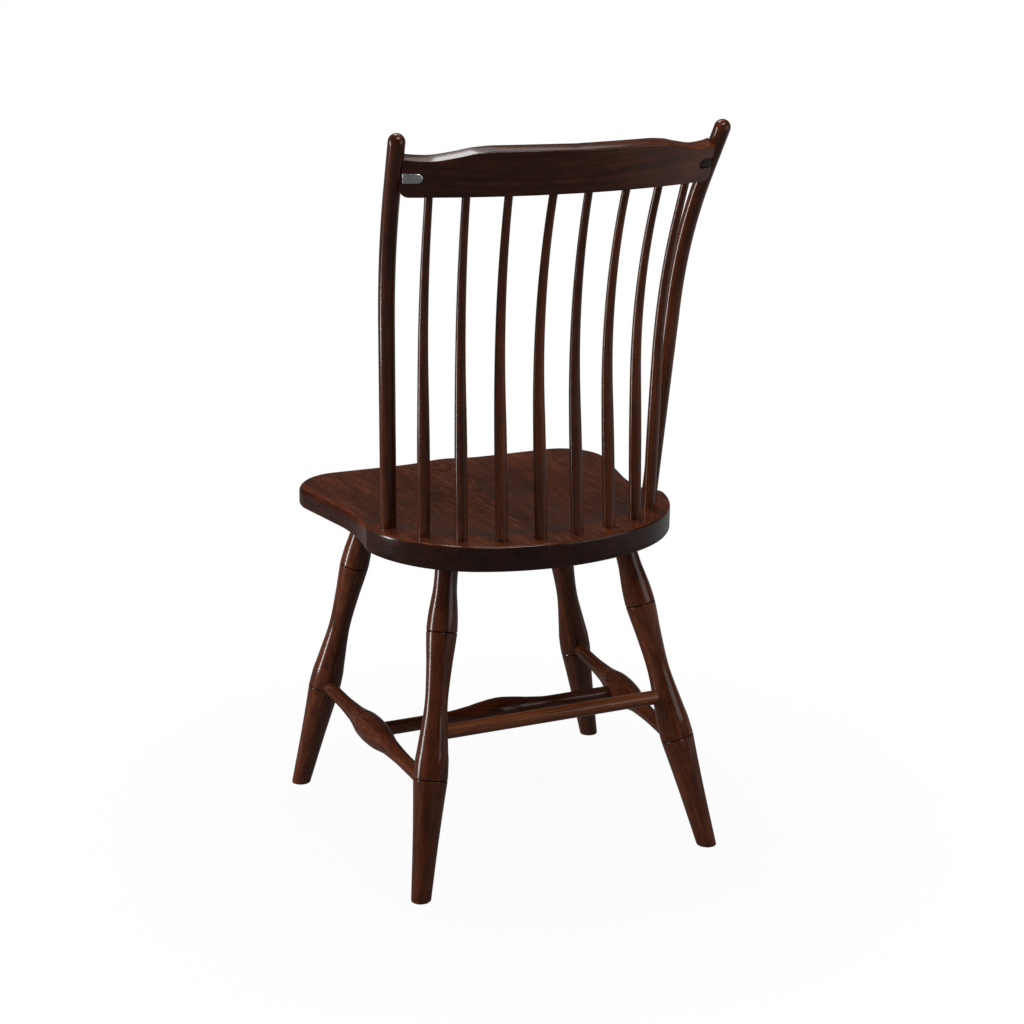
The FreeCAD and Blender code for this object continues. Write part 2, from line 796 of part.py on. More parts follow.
def make_crest_blank():
    radius = size("crest_bow_radius")
    across = derive("crest_across", size("crest_thickness") / math.cos(LEAN))
    derive("crest_front_middle", -across)
    derive("crest_trim_x", size("crest_end_x") + size("crest_thickness"))
    trim = size("crest_trim_x")
    derive("crest_back_end_y", math.sqrt(radius ** 2 - trim ** 2) - radius)
    derive("crest_front_end_y", math.sqrt((radius - across) ** 2 - trim ** 2) - radius)
    plan = body_named("crest_plan")
    band = sketch_on(plan, "crest_bow", "XY_Plane")
    outline(band, ("crest_trim_x", "crest_back_end_y"), [
        (("", ""), ("-crest_trim_x", "crest_back_end_y")),
        (("-crest_trim_x", "crest_front_end_y"),),
        (("", "crest_front_middle"), ("crest_trim_x", "crest_front_end_y")),
        (("crest_trim_x", "crest_back_end_y"),),
    ])
    board = plan.newObject("PartDesign::Pad", "crest_board")
    board.Profile = band
    board.UseCustomVector = True
    board.Direction = Vector(0, math.sin(LEAN), math.cos(LEAN))
    board.AlongSketchNormal = True
    board.Length = size("crest_crown_rise") + 2 * size("crest_thickness")
    plan.Tip = board
    base = point(0, size("crest_back"), CREST_BASE) - board.Direction * size("crest_thickness")
    plan.Placement = Placement(base, Rotation())

    corner = size("crest_corner_radius")
    bevel = corner * (1 - math.sqrt(0.5))
    derive("crest_corner_x", size("crest_end_x") - corner)
    derive("crest_corner_foot", -bow_drop(size("crest_corner_x")))
    derive("crest_corner_out", size("crest_end_x") - bevel)
    derive("crest_corner_mid", -bow_drop(size("crest_corner_out")) + bevel)
    derive("crest_corner_side", -bow_drop(size("crest_end_x")) + corner)
    for spot in ("end", "dip", "turn", "brow", "crown"):
        edge_cell("crest_%s_edge" % spot, "crest_%s_x" % spot, size("crest_%s_rise" % spot))
    front = body_named("crest_front_view")
    view = sketch_on(front, "crest_outline", "XZ_Plane")
    outline(view, ("crest_end_x", "crest_corner_side"), [
        (("crest_end_x", "crest_end_edge"),),
        (("crest_dip_x", "crest_dip_edge"), ("crest_turn_x", "crest_turn_edge")),
        (("crest_brow_x", "crest_brow_edge"), ("crest_crown_x", "crest_crown_edge")),
        (("", "crest_middle_rise"), ("-crest_crown_x", "crest_crown_edge")),
        (("-crest_brow_x", "crest_brow_edge"), ("-crest_turn_x", "crest_turn_edge")),
        (("-crest_dip_x", "crest_dip_edge"), ("-crest_end_x", "crest_end_edge")),
        (("-crest_end_x", "crest_corner_side"),),
        (("-crest_corner_out", "crest_corner_mid"), ("-crest_corner_x", "crest_corner_foot")),
        (("", ""), ("crest_corner_x", "crest_corner_foot")),
        (("crest_corner_out", "crest_corner_mid"), ("crest_end_x", "crest_corner_side")),
    ])
    sawn = front.newObject("PartDesign::Pad", "crest_sawn")
    sawn.Profile = view
    sawn.Midplane = True
    sawn.Length = 2 * (size("crest_bow_radius") - math.sqrt(radius ** 2 - trim ** 2)) + 4 * across
    front.Tip = sawn
    front.Placement = Placement(point(0, size("crest_back"), CREST_BASE),
                                Rotation(Vector(1, 0, 0), -size("crest_lean")))
    common = doc.addObject("Part::Common", "crest_sawn_board")
    common.Base = plan
    common.Tool = front
    return common


# The steel plates lie in open-ended slots in the back of the crest rail, where its ends
# meet the posts.
def plate_frame(side):
    """Frame on the crest's back face under the plate: X to the post, Z out of the face."""
    radius = size("crest_bow_radius")
    x = size("crest_end_x") - size("plate_length") / 2
    y = size("crest_back") - radius + math.sqrt(radius ** 2 - x ** 2)
    upward = Vector(0, math.sin(LEAN), math.cos(LEAN))
    origin = point(side * x, y, CREST_BASE) + upward * size("plate_rise")
    bow = math.asin(x / radius)
    x_way = Vector(side * math.cos(bow), -math.sin(bow), 0)
    z_way = (x_way.cross(upward) * -side).normalize()
    return Placement(origin, Rotation(x_way, z_way.cross(x_way), z_way, "ZXY"))


def edges_at(shape, height):
    """Names of the edges that lie level at one height in a body's own frame."""
    names = []
    for index, edge in enumerate(shape.Edges):
        heights = [spot.z for spot in edge.discretize(3)]
        if max(abs(level - height) for level in heights) < 0.01:
            names.append("Edge%d" % (index + 1))
    return names


def slab(label, side, height, inner, nose, outer, top, thickness):
    """A slab with one rounded end, with its upper face at a sheet height over the crest."""
    body = body_named(label)
    lift = Placement(UP * number_of(top), Rotation())
    sketch = sketch_on(body, label + "_outline", "XY_Plane", lift)
    outline(sketch, (outer, height + "/2"), [
        (("-" + nose, height + "/2"),),
        (("-" + inner, ""), ("-" + nose, "-%s/2" % height)),
        ((outer, "-%s/2" % height),),
        ((outer, height + "/2"),),
    ])
    pad = body.newObject("PartDesign::Pad", label + "_pad")
    pad.Profile = sketch
    pad.Reversed = True
    pad.setExpression("Length", "Sizes." + thickness)
    body.Tip = pad
    body.Placement = plate_frame(side)
    return body


def make_plate(place, side):
    """A steel plate with its outer edges bevelled, let in just under the wood."""
    label = "crest_plate_" + place
    body = slab(label, side, "plate_height", "plate_inner", "plate_nose", "plate_outer",
                "-plate_recess", "plate_thickness")
    pad = body.Tip
    doc.recompute()
    bevel = body.newObject("PartDesign::Chamfer", label + "_bevel")
    bevel.Base = (pad, edges_at(pad.Shape, -size("plate_recess")))
    bevel.setExpression("Size", "Sizes.plate_bevel")
    body.Tip = bevel
    return body


# Sizes that follow from the driving ones
derive("leg_waste", 8.0)
for mark in LEG_MARKS:
    derive(mark + "_at", size(mark + "_share") * size("seat_height"))
for ring in ("low_ring", "high_ring", "side_ring"):
    ring_cells(ring)
for leg_kind in ("front", "rear"):
    derive("leg_%s_length" % leg_kind,
           leg_underside(leg_kind) * leg_scale(leg_kind) + size("leg_tenon"))
side_span = side_stretcher_ends(1)[1] - side_stretcher_ends(1)[0]
derive("side_stretcher_end", side_span.Length - size("stretcher_tip"))
derive("centre_half_length", side_joint(1).x - size("stretcher_tip"))
derive("post_cope_d", size("post_d") + 2 * size("post_cope_gap"))
derive("plate_inner", size("plate_length") / 2)
derive("plate_nose", size("plate_inner") - size("plate_height") / 2)
derive("plate_outer", size("plate_length") / 2)
derive("slot_height", size("plate_height") + 2 * size("plate_gap"))
derive("slot_inner", size("plate_inner") + size("plate_gap"))
derive("slot_nose", size("slot_inner") - size("slot_height") / 2)
derive("slot_outer", size("plate_length"))
derive("slot_open", size("plate_height") / 2)
derive("slot_depth", size("slot_open") + size("plate_recess") + size("plate_thickness") + size("plate_gap"))

# Seat
seat_sockets = []
floor = floor_block()
for place, side in SIDES:
    for kind in ("front", "rear"):
        top = leg_station(kind, side, (size("leg_%s_length" % kind) + size("end_gap")) / leg_scale(kind))
        below = leg_station(kind, side, leg_underside(kind) - size("seat_thickness"))
        seat_sockets.append(cylinder("leg_%s_%s_socket" % (kind, place), below, top, "collar_d"))
    seat_sockets.append(rod_socket("back_post_%s_socket" % place, post_path(side),
                                   -size("post_tenon") - size("end_gap"), size("post_d"), "post_d"))
    for number in (1, 2, 3, 4):
        seat_sockets.append(rod_socket("spindle_%s_%d_socket" % (place, number), spindle_path(number, side),
                                       -size("spindle_tenon") - size("end_gap"), size("post_d"),
                                       "spindle_foot_d"))

plank = make_seat_blank()
saddled = cut("seat_saddle", plank, [make_saddle_tool()])
doc.recompute()

to_deck = plank.Placement.inverse()
rounding = []
for index, edge in enumerate(saddled.Shape.Edges):
    spots = [to_deck.multVec(spot) for spot in edge.discretize(9)]
    middle = spots[4]
    lowest = min(spot.z for spot in spots)
    highest = max(spot.z for spot in spots)
    if highest - lowest > size("seat_thickness") / 2:
        continue
    if highest < size("seat_under_radius") - size("seat_thickness"):
        radius = size("seat_under_radius")
    elif middle.y > size("shoulder_y"):
        radius = size("seat_edge_radius")
    else:
        radius = size("seat_front_roll")
    rounding.append((index + 1, radius, radius))
rounded = doc.addObject("Part::Fillet", "seat_rounded")
rounded.Base = saddled
rounded.Edges = rounding
finish(cut("seat", rounded, seat_sockets), "seat")

# Legs and stretchers
for place, side in SIDES:
    front, rear = side_stretcher_ends(side)
    sockets = {
        "front": [stretcher_socket("side_stretcher_%s_front_socket" % place, front, rear, "side_end_d")],
        "rear": [stretcher_socket("side_stretcher_%s_rear_socket" % place, rear, front, "side_end_d")],
    }
    sockets["rear"].append(stretcher_socket("rear_stretcher_%s_socket" % place, rear_stretcher_end(side),
                                            rear_stretcher_end(-side), "rear_stretcher_d"))
    for kind in ("front", "rear"):
        label = "leg_%s_%s" % (kind, place)
        leg = cut(label, make_leg_blank(kind, place, side), [floor] + sockets[kind])
        doc.recompute()
        foot = [(index + 1, size("foot_chamfer"), size("foot_chamfer"))
                for index, edge in enumerate(leg.Shape.Edges) if edge.BoundBox.ZMax < 0.01]
        chamfer = doc.addObject("Part::Chamfer", label + "_foot")
        chamfer.Base = leg
        chamfer.Edges = foot
        finish(chamfer, label)
    joint = stretcher_socket("centre_stretcher_%s_socket" % place, side_joint(side), side_joint(-side),
                             "centre_end_d")
    finish(cut("side_stretcher_" + place, make_side_stretcher_blank(place, side), [joint]),
           "side_stretcher_" + place)
finish(make_centre_stretcher(), "centre_stretcher")
finish(make_rear_stretcher(), "rear_stretcher")

# Back
crest_tools = []
for place, side in SIDES:
    finish(make_post(place, side), "back_post_" + place)
    finish(make_plate(place, side), "crest_plate_" + place)
    for number in (1, 2, 3, 4):
        finish(make_spindle(number, place, side), "spindle_%s_%d" % (place, number))
        path = spindle_path(number, side)
        start = run_length(path) - size("spindle_tenon")
        end = run_length(path) + size("spindle_tenon") + size("end_gap")
        crest_tools.append(rod_socket("crest_%s_socket_%d" % (place, number), path, start, end,
                                      "spindle_top_d"))
    crest_tools.append(slab("plate_slot_" + place, side, "slot_height", "slot_inner", "slot_nose",
                            "slot_outer", "slot_open", "slot_depth"))
    crest_tools.append(make_rod("cope_post_" + place, post_path(side), "post_tenon", 0.0,
                                [(-size("post_tenon"), "post_cope_d")]))
board = make_crest_blank()
crest = cut("crest_rail", board, crest_tools)
finish(crest, "crest_rail")

doc.recompute()
faults = []
for item in doc.Objects:
    if "Invalid" in item.State or "Error" in item.State:
        faults.append((item.Label, item.State))
for piece in pieces:
    shape = piece.Shape
    if shape.isNull() or not shape.isValid() or len(shape.Solids) != 1:
        faults.append((piece.Label, shape.isNull(), shape.isNull() or shape.isValid(), len(shape.Solids)))
if faults:
    raise RuntimeError("faulty pieces: %s" % faults)
for piece in pieces:
    piece.Shape.exportStep("parts/%s.step" % piece.Label)
print(len(pieces), "pieces written")
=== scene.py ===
import math

import bmesh
import bpy
import numpy as np
from mathutils import Matrix, Vector


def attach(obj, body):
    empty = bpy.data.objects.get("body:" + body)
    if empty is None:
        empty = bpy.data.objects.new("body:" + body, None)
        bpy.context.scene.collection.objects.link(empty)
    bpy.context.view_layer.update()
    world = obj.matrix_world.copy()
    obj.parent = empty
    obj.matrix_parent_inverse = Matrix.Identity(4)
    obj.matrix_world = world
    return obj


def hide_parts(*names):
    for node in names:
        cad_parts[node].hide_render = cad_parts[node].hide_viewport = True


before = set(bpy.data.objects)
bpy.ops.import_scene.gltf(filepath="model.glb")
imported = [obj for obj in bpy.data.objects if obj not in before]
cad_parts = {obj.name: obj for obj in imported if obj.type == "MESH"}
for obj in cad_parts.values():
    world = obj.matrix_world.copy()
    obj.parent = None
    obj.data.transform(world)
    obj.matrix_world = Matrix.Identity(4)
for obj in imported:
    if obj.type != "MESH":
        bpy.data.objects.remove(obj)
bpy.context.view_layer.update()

# Sizes are in millimetres, with the same numbers and the same frame as the CAD model:
# depths (y) count from the middle between the front and the rear feet.
MM = 0.001
SIDES = (("left", 1), ("right", -1))

SEAT_HEIGHT = 448.0
SEAT_SLOPE = math.radians(1.2)
SEAT_THICKNESS = 33.2
SEAT_FRONT = 230.4
RIM_BACK = 197.0
RIM_RADIUS = 292.0
RIM_CHANGE_X = 108.0
SHOULDER = (211.0, 46.0)
WAIST = (204.8, -20.0)
FLANK = (208.0, -60.0)
FLANK_ANGLE = math.radians(12.0)
CORNER_X = 161.8
CORNER_RADIUS = 66.0
DECK_ROLL = 4.0
SIDE_ROLL = 9.0
UNDER_ROLL = 3.0

SADDLE_REACH_X = 190.0
SADDLE_REACH_Y = 155.0
SADDLE_LEAST_Y = 40.0
SADDLE_RAMP = 55.0
SADDLE_DROP = 7.0
DISH = {"x": 74.0, "y": -20.0, "depth": 6.5, "half_width": 52.0, "half_length": 120.0}
POMMEL = {"height": 2.5, "half_width": 30.0, "half_length": 120.0}

CREST_BACK = 207.5
CREST_BASE = 873.7
CREST_LEAN = math.radians(18.0)
CREST_THICKNESS = 20.0
CREST_BOW = 465.0
CREST_END = 203.5
CREST_CORNER = 11.0
CREST_ARRIS = 1.8
CREST_EDGE = ((0.0, 56.1), (98.0, 56.9), (122.0, 55.0), (143.0, 50.3), (174.0, 45.4),
              (CREST_END, 48.0))

POST_RADIUS = 10.3
POST_FIT = 0.15
POST_FOOT = (184.7, 55.8)
POST_KNEE = (199.0, 101.5, 799.5)
POST_TOP = (211.5, 176.8, 940.0)
POST_BEND = 500.0
POST_TENON = 24.0
DOME_ANGLES = (8, 16, 24, 32, 40, 48, 56, 63, 70, 76, 81, 85, 88)

# Each spindle: its number from the middle, the knee, and at the top its x and how far it
# stands forward of the middle of the crest rail.
SPINDLES = (
    (1, (23.8, 152.0, 744.0), 22.9, 0.9),
    (2, (71.8, 145.7, 742.0), 76.7, 3.0),
    (3, (118.4, 136.1, 742.5), 126.1, 2.8),
    (4, (160.8, 122.2, 742.0), 168.5, -0.4),
)
SPINDLE_PITCH = 50.0
SPINDLE_INSET = 26.2
SPINDLE_BEND = 700.0
SPINDLE_TENON = 20.0
SPINDLE_GIRTH = ((-21.0, 15.8), (0.0, 15.8), (95.0, 16.1), (250.0, 12.6))
SPINDLE_TOP_GIRTH = 10.2
SOCKET_SEAM = 1.6

LEG_FEET = {
    "front": {"x": 227.6, "y": -206.5, "splay": 0.2220, "rake": 0.128},
    "rear": {"x": 203.8, "y": 204.2, "splay": 0.1981, "rake": -0.2545},
}
LEG_PARTS = (
    ((-14.0, 24.0), (0.0, 25.4), (76.0, 33.2), (152.0, 44.0)),
    ((152.0, 44.0), (174.0, 42.9), (193.0, 38.8), (252.0, 29.2), (298.0, 33.4), (318.0, 36.8),
     (338.0, 39.6)),
    ((338.0, 39.6), (356.0, 38.2), (377.0, 33.8), (391.0, 30.5), (405.0, 29.5), (460.0, 29.5)),
)
LEG_RINGS = (152.0, 338.0)
LEG_TENON = 18.0
FOOT_CHAMFER = 1.2

SIDE_FRONT_HEIGHT = 151.4
SIDE_REAR_HEIGHT = 136.5
SIDE_PARTS = (
    ((0.0, 19.2), (60.0, 19.2), (111.0, 23.9), (148.0, 35.2)),
    ((148.0, 35.2), (172.0, 37.8), (196.0, 35.2), (231.0, 23.9), (282.0, 19.2), (420.0, 19.2)),
)
SIDE_RING = 148.0
SIDE_JOINT = 165.0
CENTRE_DROP = 4.6
CENTRE_HALF = ((0.0, 36.0), (25.0, 31.2), (45.0, 24.8), (76.0, 19.0), (220.0, 19.0))
REAR_HEIGHT = 199.2
REAR_DIAMETER = 18.9
STRETCHER_TIP = 7.0
GROOVE_HALF = 1.3
GROOVE_DEPTH = 1.1
GROOVE_LIP = 1.25
GROOVE_DIRT = 1.6
JOINT_SEAM = 1.2
STATION_STEP = 3.0

crest_reach = CREST_BACK + CREST_EDGE[0][1] * math.sin(CREST_LEAN)
seat_reach = SEAT_FRONT * math.cos(SEAT_SLOPE) + (SEAT_THICKNESS - UNDER_ROLL) * math.sin(SEAT_SLOPE)
MIDDLE_Y = (crest_reach - seat_reach) / 2


def place(x, y, z):
    """A spot on the chair, in metres."""
    return Vector((x, y - MIDDLE_Y, z)) * MM


def eased(stations, spots):
    """Values at the spots on a smooth curve through the stations that never overshoots."""
    x = np.array([station[0] for station in stations], float)
    y = np.array([station[1] for station in stations], float)
    step = np.diff(x)
    slope = np.diff(y) / step
    tangent = np.zeros(len(x))
    tangent[0], tangent[-1] = slope[0], slope[-1]
    for i in range(1, len(x) - 1):
        if slope[i - 1] * slope[i] > 0:
            before, after = step[i] + 2 * step[i - 1], 2 * step[i] + step[i - 1]
            tangent[i] = (before + after) / (before / slope[i - 1] + after / slope[i])
    if len(x) > 2:
        for end, near, far in ((0, 0, 1), (-1, -1, -2)):
            free = (2 * step[near] + step[far]) * slope[near] - step[near] * slope[far]
            free /= step[near] + step[far]
            if free * slope[near] <= 0:
                free = 0.0
            elif abs(free) > 3 * abs(slope[near]):
                free = 3 * slope[near]
            tangent[end] = free
    cell = np.clip(np.searchsorted(x, spots) - 1, 0, len(x) - 2)
    t = (np.asarray(spots, float) - x[cell]) / step[cell]
    rise = (2 * t ** 3 - 3 * t ** 2 + 1) * y[cell] + (3 * t ** 2 - 2 * t ** 3) * y[cell + 1]
    swing = (t ** 3 - 2 * t ** 2 + t) * tangent[cell] + (t ** 3 - t ** 2) * tangent[cell + 1]
    return rise + step[cell] * swing


class Shading:
    """A node tree, with short calls for the nodes that it uses."""

    def __init__(self, owner):
        owner.use_nodes = True
        self.owner = owner
        self.tree = owner.node_tree
        self.surface = self.tree.nodes.get("Principled BSDF")

    def node(self, kind, inputs=None, **settings):
        made = self.tree.nodes.new(kind)
        for key, value in settings.items():
            setattr(made, key, value)
        for key, value in (inputs or {}).items():
            self.put(made.inputs[key], value)
        return made

    def put(self, socket, value):
        if isinstance(value, bpy.types.NodeSocket):
            self.tree.links.new(value, socket)
        else:
            socket.default_value = value

    def math(self, operation, a, b=0.0, clamp=False):
        made = self.node("ShaderNodeMath", {0: a, 1: b}, operation=operation, use_clamp=clamp)
        return made.outputs[0]

    def attribute(self, name, output="Fac"):
        return self.node("ShaderNodeAttribute", attribute_name=name).outputs[output]

    def stretched(self, vector, scale):
        made = self.node("ShaderNodeVectorMath", {0: vector, 1: scale}, operation="MULTIPLY")
        return made.outputs[0]

    def noise(self, vector, scale, detail=2.0, roughness=0.5):
        inputs = {"Vector": self.stretched(vector, scale), "Scale": 1.0,
                  "Detail": detail, "Roughness": roughness}
        return self.node("ShaderNodeTexNoise", inputs).outputs["Fac"]

    def span(self, value, low, high, to_low=0.0, to_high=1.0):
        inputs = {0: value, 1: low, 2: high, 3: to_low, 4: to_high}
        return self.node("ShaderNodeMapRange", inputs, interpolation_type="SMOOTHSTEP").outputs[0]

    def blend(self, share, a, b, kind="MIX"):
        made = self.node("ShaderNodeMix", {0: share}, data_type="RGBA", blend_type=kind)
        self.put(made.inputs[6], a)
        self.put(made.inputs[7], b)
        return made.outputs[2]


# How strongly the growth rings show.
SEAT_FIGURE = 0.17
CREST_FIGURE = 0.05
TURNED_FIGURE = 0.12

# Noise in the finishes: scale across, across and along the grain, then detail and roughness.
SWAY_NOISE = ((11.0, 11.0, 2.6), 3.0, 0.45)
FIBRE_NOISE = ((900.0, 900.0, 14.0), 3.0, 0.6)
STREAK_NOISE = ((170.0, 170.0, 3.4), 3.0, 0.55)
BLOTCH_NOISE = ((20.0, 20.0, 8.0), 3.0, 0.55)
MOTTLE_NOISE = ((95.0, 95.0, 45.0), 3.0, 0.6)
PORE_NOISE = ((1700.0, 1700.0, 60.0), 1.5, 0.5)
PEEL_NOISE = ((150.0, 150.0, 70.0), 2.0, 0.5)
BRUSH_NOISE = ((5200.0, 5200.0, 110.0), 3.0, 0.6)
CLOUD_NOISE = ((160.0, 160.0, 90.0), 2.0, 0.5)

# Stain from the darkest to the lightest wood. Lengths of the rings are in metres.
STAIN_STEPS = (
    (0.0, (0.013, 0.0022, 0.0007, 1.0)),
    (0.4, (0.055, 0.0113, 0.0036, 1.0)),
    (0.7, (0.138, 0.0325, 0.0102, 1.0)),
    (1.0, (0.270, 0.0790, 0.0240, 1.0)),
)
PORE_STAIN = (0.009, 0.0017, 0.0006, 1.0)
SEAM_DIRT = (0.0025, 0.0011, 0.0007, 1.0)
RING_SPACING = 0.0027
RING_SWAY = 0.012
WEAR_SHARE = 0.16
STREAK_SHARE, BLOTCH_SHARE, MOTTLE_SHARE, FIBRE_SHARE = 0.20, 0.14, 0.12, 0.17
PORE_SHARE = 0.6
MATT_ROUGHNESS = (0.5, 0.7)
BUMP_REACH = 0.0003
FIBRE_BUMP = 0.2
FILM_BUMP = 0.012
BASE_SPECULAR = 0.04
COAT_ROUGHNESS = 0.16
COAT_IOR = 1.48

STEEL_DARK = (0.70, 0.685, 0.71, 1.0)
STEEL_LIGHT = (0.84, 0.82, 0.85, 1.0)
STEEL_PAINTED_SHADE = (0.03, 0.022, 0.02, 1.0)
STEEL_ROUGHNESS = (0.24, 0.36)
BRUSH_BUMP = 0.25
BRUSH_REACH = 0.0001


def stained_wood():
    """Dark red-brown stain with growth rings, fibres and pores under a gloss lacquer."""
    wood = Shading(bpy.data.materials.new("stained_wood"))
    grain = wood.attribute("grain", "Vector")
    split = wood.node("ShaderNodeSeparateXYZ", {0: grain})
    sway = wood.noise(grain, *SWAY_NOISE)
    squares = [wood.math("POWER", split.outputs[axis], 2.0) for axis in (0, 1)]
    radius = wood.math("SQRT", wood.math("ADD", *squares))
    swayed = wood.math("ADD", radius, wood.math("MULTIPLY", sway, RING_SWAY))
    phase = wood.math("FRACT", wood.math("DIVIDE", swayed, RING_SPACING))
    ring = wood.math("MULTIPLY", wood.span(phase, 0.25, 0.9), wood.span(phase, 1.0, 0.93))
    fibre = wood.noise(grain, *FIBRE_NOISE)
    streak = wood.noise(grain, *STREAK_NOISE)
    blotch = wood.noise(grain, *BLOTCH_NOISE)
    mottle = wood.noise(grain, *MOTTLE_NOISE)
    pore = wood.noise(grain, *PORE_NOISE)
    early_wood = wood.span(phase, 0.75, 0.15, 0.35, 1.0)
    pores = wood.math("MULTIPLY", wood.span(pore, 0.58, 0.70), early_wood)

    light = wood.attribute("tone")
    for value, low, high, share in ((streak, 0.3, 0.7, STREAK_SHARE), (blotch, 0.3, 0.7, BLOTCH_SHARE),
                                    (mottle, 0.3, 0.7, MOTTLE_SHARE), (fibre, 0.28, 0.72, FIBRE_SHARE)):
        light = wood.math("ADD", light, wood.span(value, low, high, -share / 2, share / 2))
    light = wood.math("SUBTRACT", light, wood.math("MULTIPLY", ring, wood.attribute("figure")))
    light = wood.math("ADD", light, wood.math("MULTIPLY", wood.attribute("wear"), WEAR_SHARE))
    stain = wood.node("ShaderNodeValToRGB", {0: light})
    steps = stain.color_ramp.elements
    while len(steps) < len(STAIN_STEPS):
        steps.new(0.5)
    for step, (at, colour) in zip(steps, STAIN_STEPS):
        step.position = at
        step.color = colour
    body = wood.blend(wood.math("MULTIPLY", pores, PORE_SHARE), stain.outputs[0], PORE_STAIN)
    body = wood.blend(wood.attribute("seam"), body, SEAM_DIRT)
    wood.put(wood.surface.inputs["Base Color"], body)
    wood.put(wood.surface.inputs["Roughness"], wood.span(pores, 0.0, 1.0, *MATT_ROUGHNESS))
    relief = wood.math("SUBTRACT", wood.math("MULTIPLY", fibre, 0.35), pores)
    bump = wood.node("ShaderNodeBump", {"Strength": FIBRE_BUMP, "Distance": BUMP_REACH, "Height": relief})
    wood.put(wood.surface.inputs["Normal"], bump.outputs[0])
    peel = wood.noise(grain, *PEEL_NOISE)
    film_height = wood.math("SUBTRACT", peel, wood.math("MULTIPLY", pores, 0.5))
    film = wood.node("ShaderNodeBump", {"Strength": FILM_BUMP, "Distance": BUMP_REACH,
                                        "Height": film_height})
    wood.put(wood.surface.inputs["Coat Normal"], film.outputs[0])
    wood.surface.inputs["Specular IOR Level"].default_value = BASE_SPECULAR
    wood.surface.inputs["Coat Weight"].default_value = 1.0
    wood.surface.inputs["Coat Roughness"].default_value = COAT_ROUGHNESS
    wood.surface.inputs["Coat IOR"].default_value = COAT_IOR
    return wood.owner


def satin_steel():
    """Steel with a fine brushed finish along each plate."""
    steel = Shading(bpy.data.materials.new("plate_steel"))
    grain = steel.attribute("grain", "Vector")
    brush = steel.noise(grain, *BRUSH_NOISE)
    cloud = steel.noise(grain, *CLOUD_NOISE)
    tint = steel.blend(steel.span(cloud, 0.3, 0.7), STEEL_DARK, STEEL_LIGHT)
    # A plate's steel is darkened towards near black here as painted shade; the right plate gets it fully.
    tint = steel.blend(steel.attribute("tone"), tint, STEEL_PAINTED_SHADE)
    steel.put(steel.surface.inputs["Base Color"], tint)
    steel.put(steel.surface.inputs["Roughness"], steel.span(brush, 0.2, 0.8, *STEEL_ROUGHNESS))
    bump = steel.node("ShaderNodeBump", {"Strength": BRUSH_BUMP, "Distance": BRUSH_REACH, "Height": brush})
    steel.put(steel.surface.inputs["Normal"], bump.outputs[0])
    steel.surface.inputs["Metallic"].default_value = 1.0
    return steel.owner


WOOD = stained_wood()
STEEL = satin_steel()


def turning_tree():
    """Turns a line of points into a round piece. Each point holds its own girth."""
    tree = bpy.data.node_groups.new("turning", "GeometryNodeTree")
    tree.is_modifier = True
    sockets = {}
    for name, kind in (("Line", "NodeSocketGeometry"), ("Sides", "NodeSocketInt"),
                       ("Log Shift", "NodeSocketVector"), ("Finish", "NodeSocketMaterial")):
        sockets[name] = tree.interface.new_socket(name, in_out="INPUT", socket_type=kind).identifier
    tree.interface.new_socket("Piece", in_out="OUTPUT", socket_type="NodeSocketGeometry")
    entry = tree.nodes.new("NodeGroupInput")
    leave = tree.nodes.new("NodeGroupOutput")

    def add(kind, inputs, **settings):
        made = tree.nodes.new(kind)
        for key, value in settings.items():
            setattr(made, key, value)
        for key, value in inputs.items():
            if isinstance(value, bpy.types.NodeSocket):
                tree.links.new(value, made.inputs[key])
            else:
                made.inputs[key].default_value = value
        return made

    def named(name, kind):
        return add("GeometryNodeInputNamedAttribute", {"Name": name}, data_type=kind).outputs[0]

    line = add("GeometryNodeMeshToCurve", {"Mesh": entry.outputs["Line"]})
    ring = add("GeometryNodeCurvePrimitiveCircle", {"Resolution": entry.outputs["Sides"], "Radius": 1.0})
    spot = add("GeometryNodeInputPosition", {})
    ring = add("GeometryNodeStoreNamedAttribute", {"Geometry": ring.outputs["Curve"], "Name": "round",
                                                   "Value": spot.outputs[0]}, data_type="FLOAT_VECTOR")
    skin = add("GeometryNodeCurveToMesh", {
        "Curve": line.outputs["Curve"], "Profile Curve": ring.outputs[0],
        "Scale": named("girth", "FLOAT"), "Fill Caps": True})
    across = add("ShaderNodeVectorMath", {0: named("round", "FLOAT_VECTOR")}, operation="SCALE")
    tree.links.new(named("girth", "FLOAT"), across.inputs["Scale"])
    up = add("ShaderNodeCombineXYZ", {"Z": named("run", "FLOAT")})
    spread = add("ShaderNodeVectorMath", {0: across.outputs[0], 1: up.outputs[0]}, operation="ADD")
    moved = add("ShaderNodeVectorMath", {0: spread.outputs[0], 1: entry.outputs["Log Shift"]},
                operation="ADD")
    kept = add("GeometryNodeStoreNamedAttribute", {"Geometry": skin.outputs[0], "Name": "grain",
                                                   "Value": moved.outputs[0]}, data_type="FLOAT_VECTOR")
    soft = add("GeometryNodeSetShadeSmooth", {"Geometry": kept.outputs[0], "Shade Smooth": True})
    real = add("GeometryNodeRealizeInstances", {"Geometry": soft.outputs[0]})
    done = add("GeometryNodeSetMaterial", {"Geometry": real.outputs[0],
                                           "Material": entry.outputs["Finish"]})
    tree.links.new(done.outputs[0], leave.inputs[0])
    return tree, sockets


TURNING, TURNING_SOCKETS = turning_tree()
LOG_SEED = 41
rng = np.random.default_rng(LOG_SEED)

# Sides of the round pieces, and how light their stain is from 0 to 1.
ROUND_SIDES = 56
THIN_SIDES = 40
ROUND_TONE = 0.6
LEG_TONES = {("front", "left"): 0.68, ("front", "right"): 0.6,
             ("rear", "left"): 0.62, ("rear", "right"): 0.72}
SIDE_TONE, CENTRE_TONE, REAR_TONE = 0.66, 0.62, 0.9
POST_TONES = {1: 0.5, -1: 0.64}


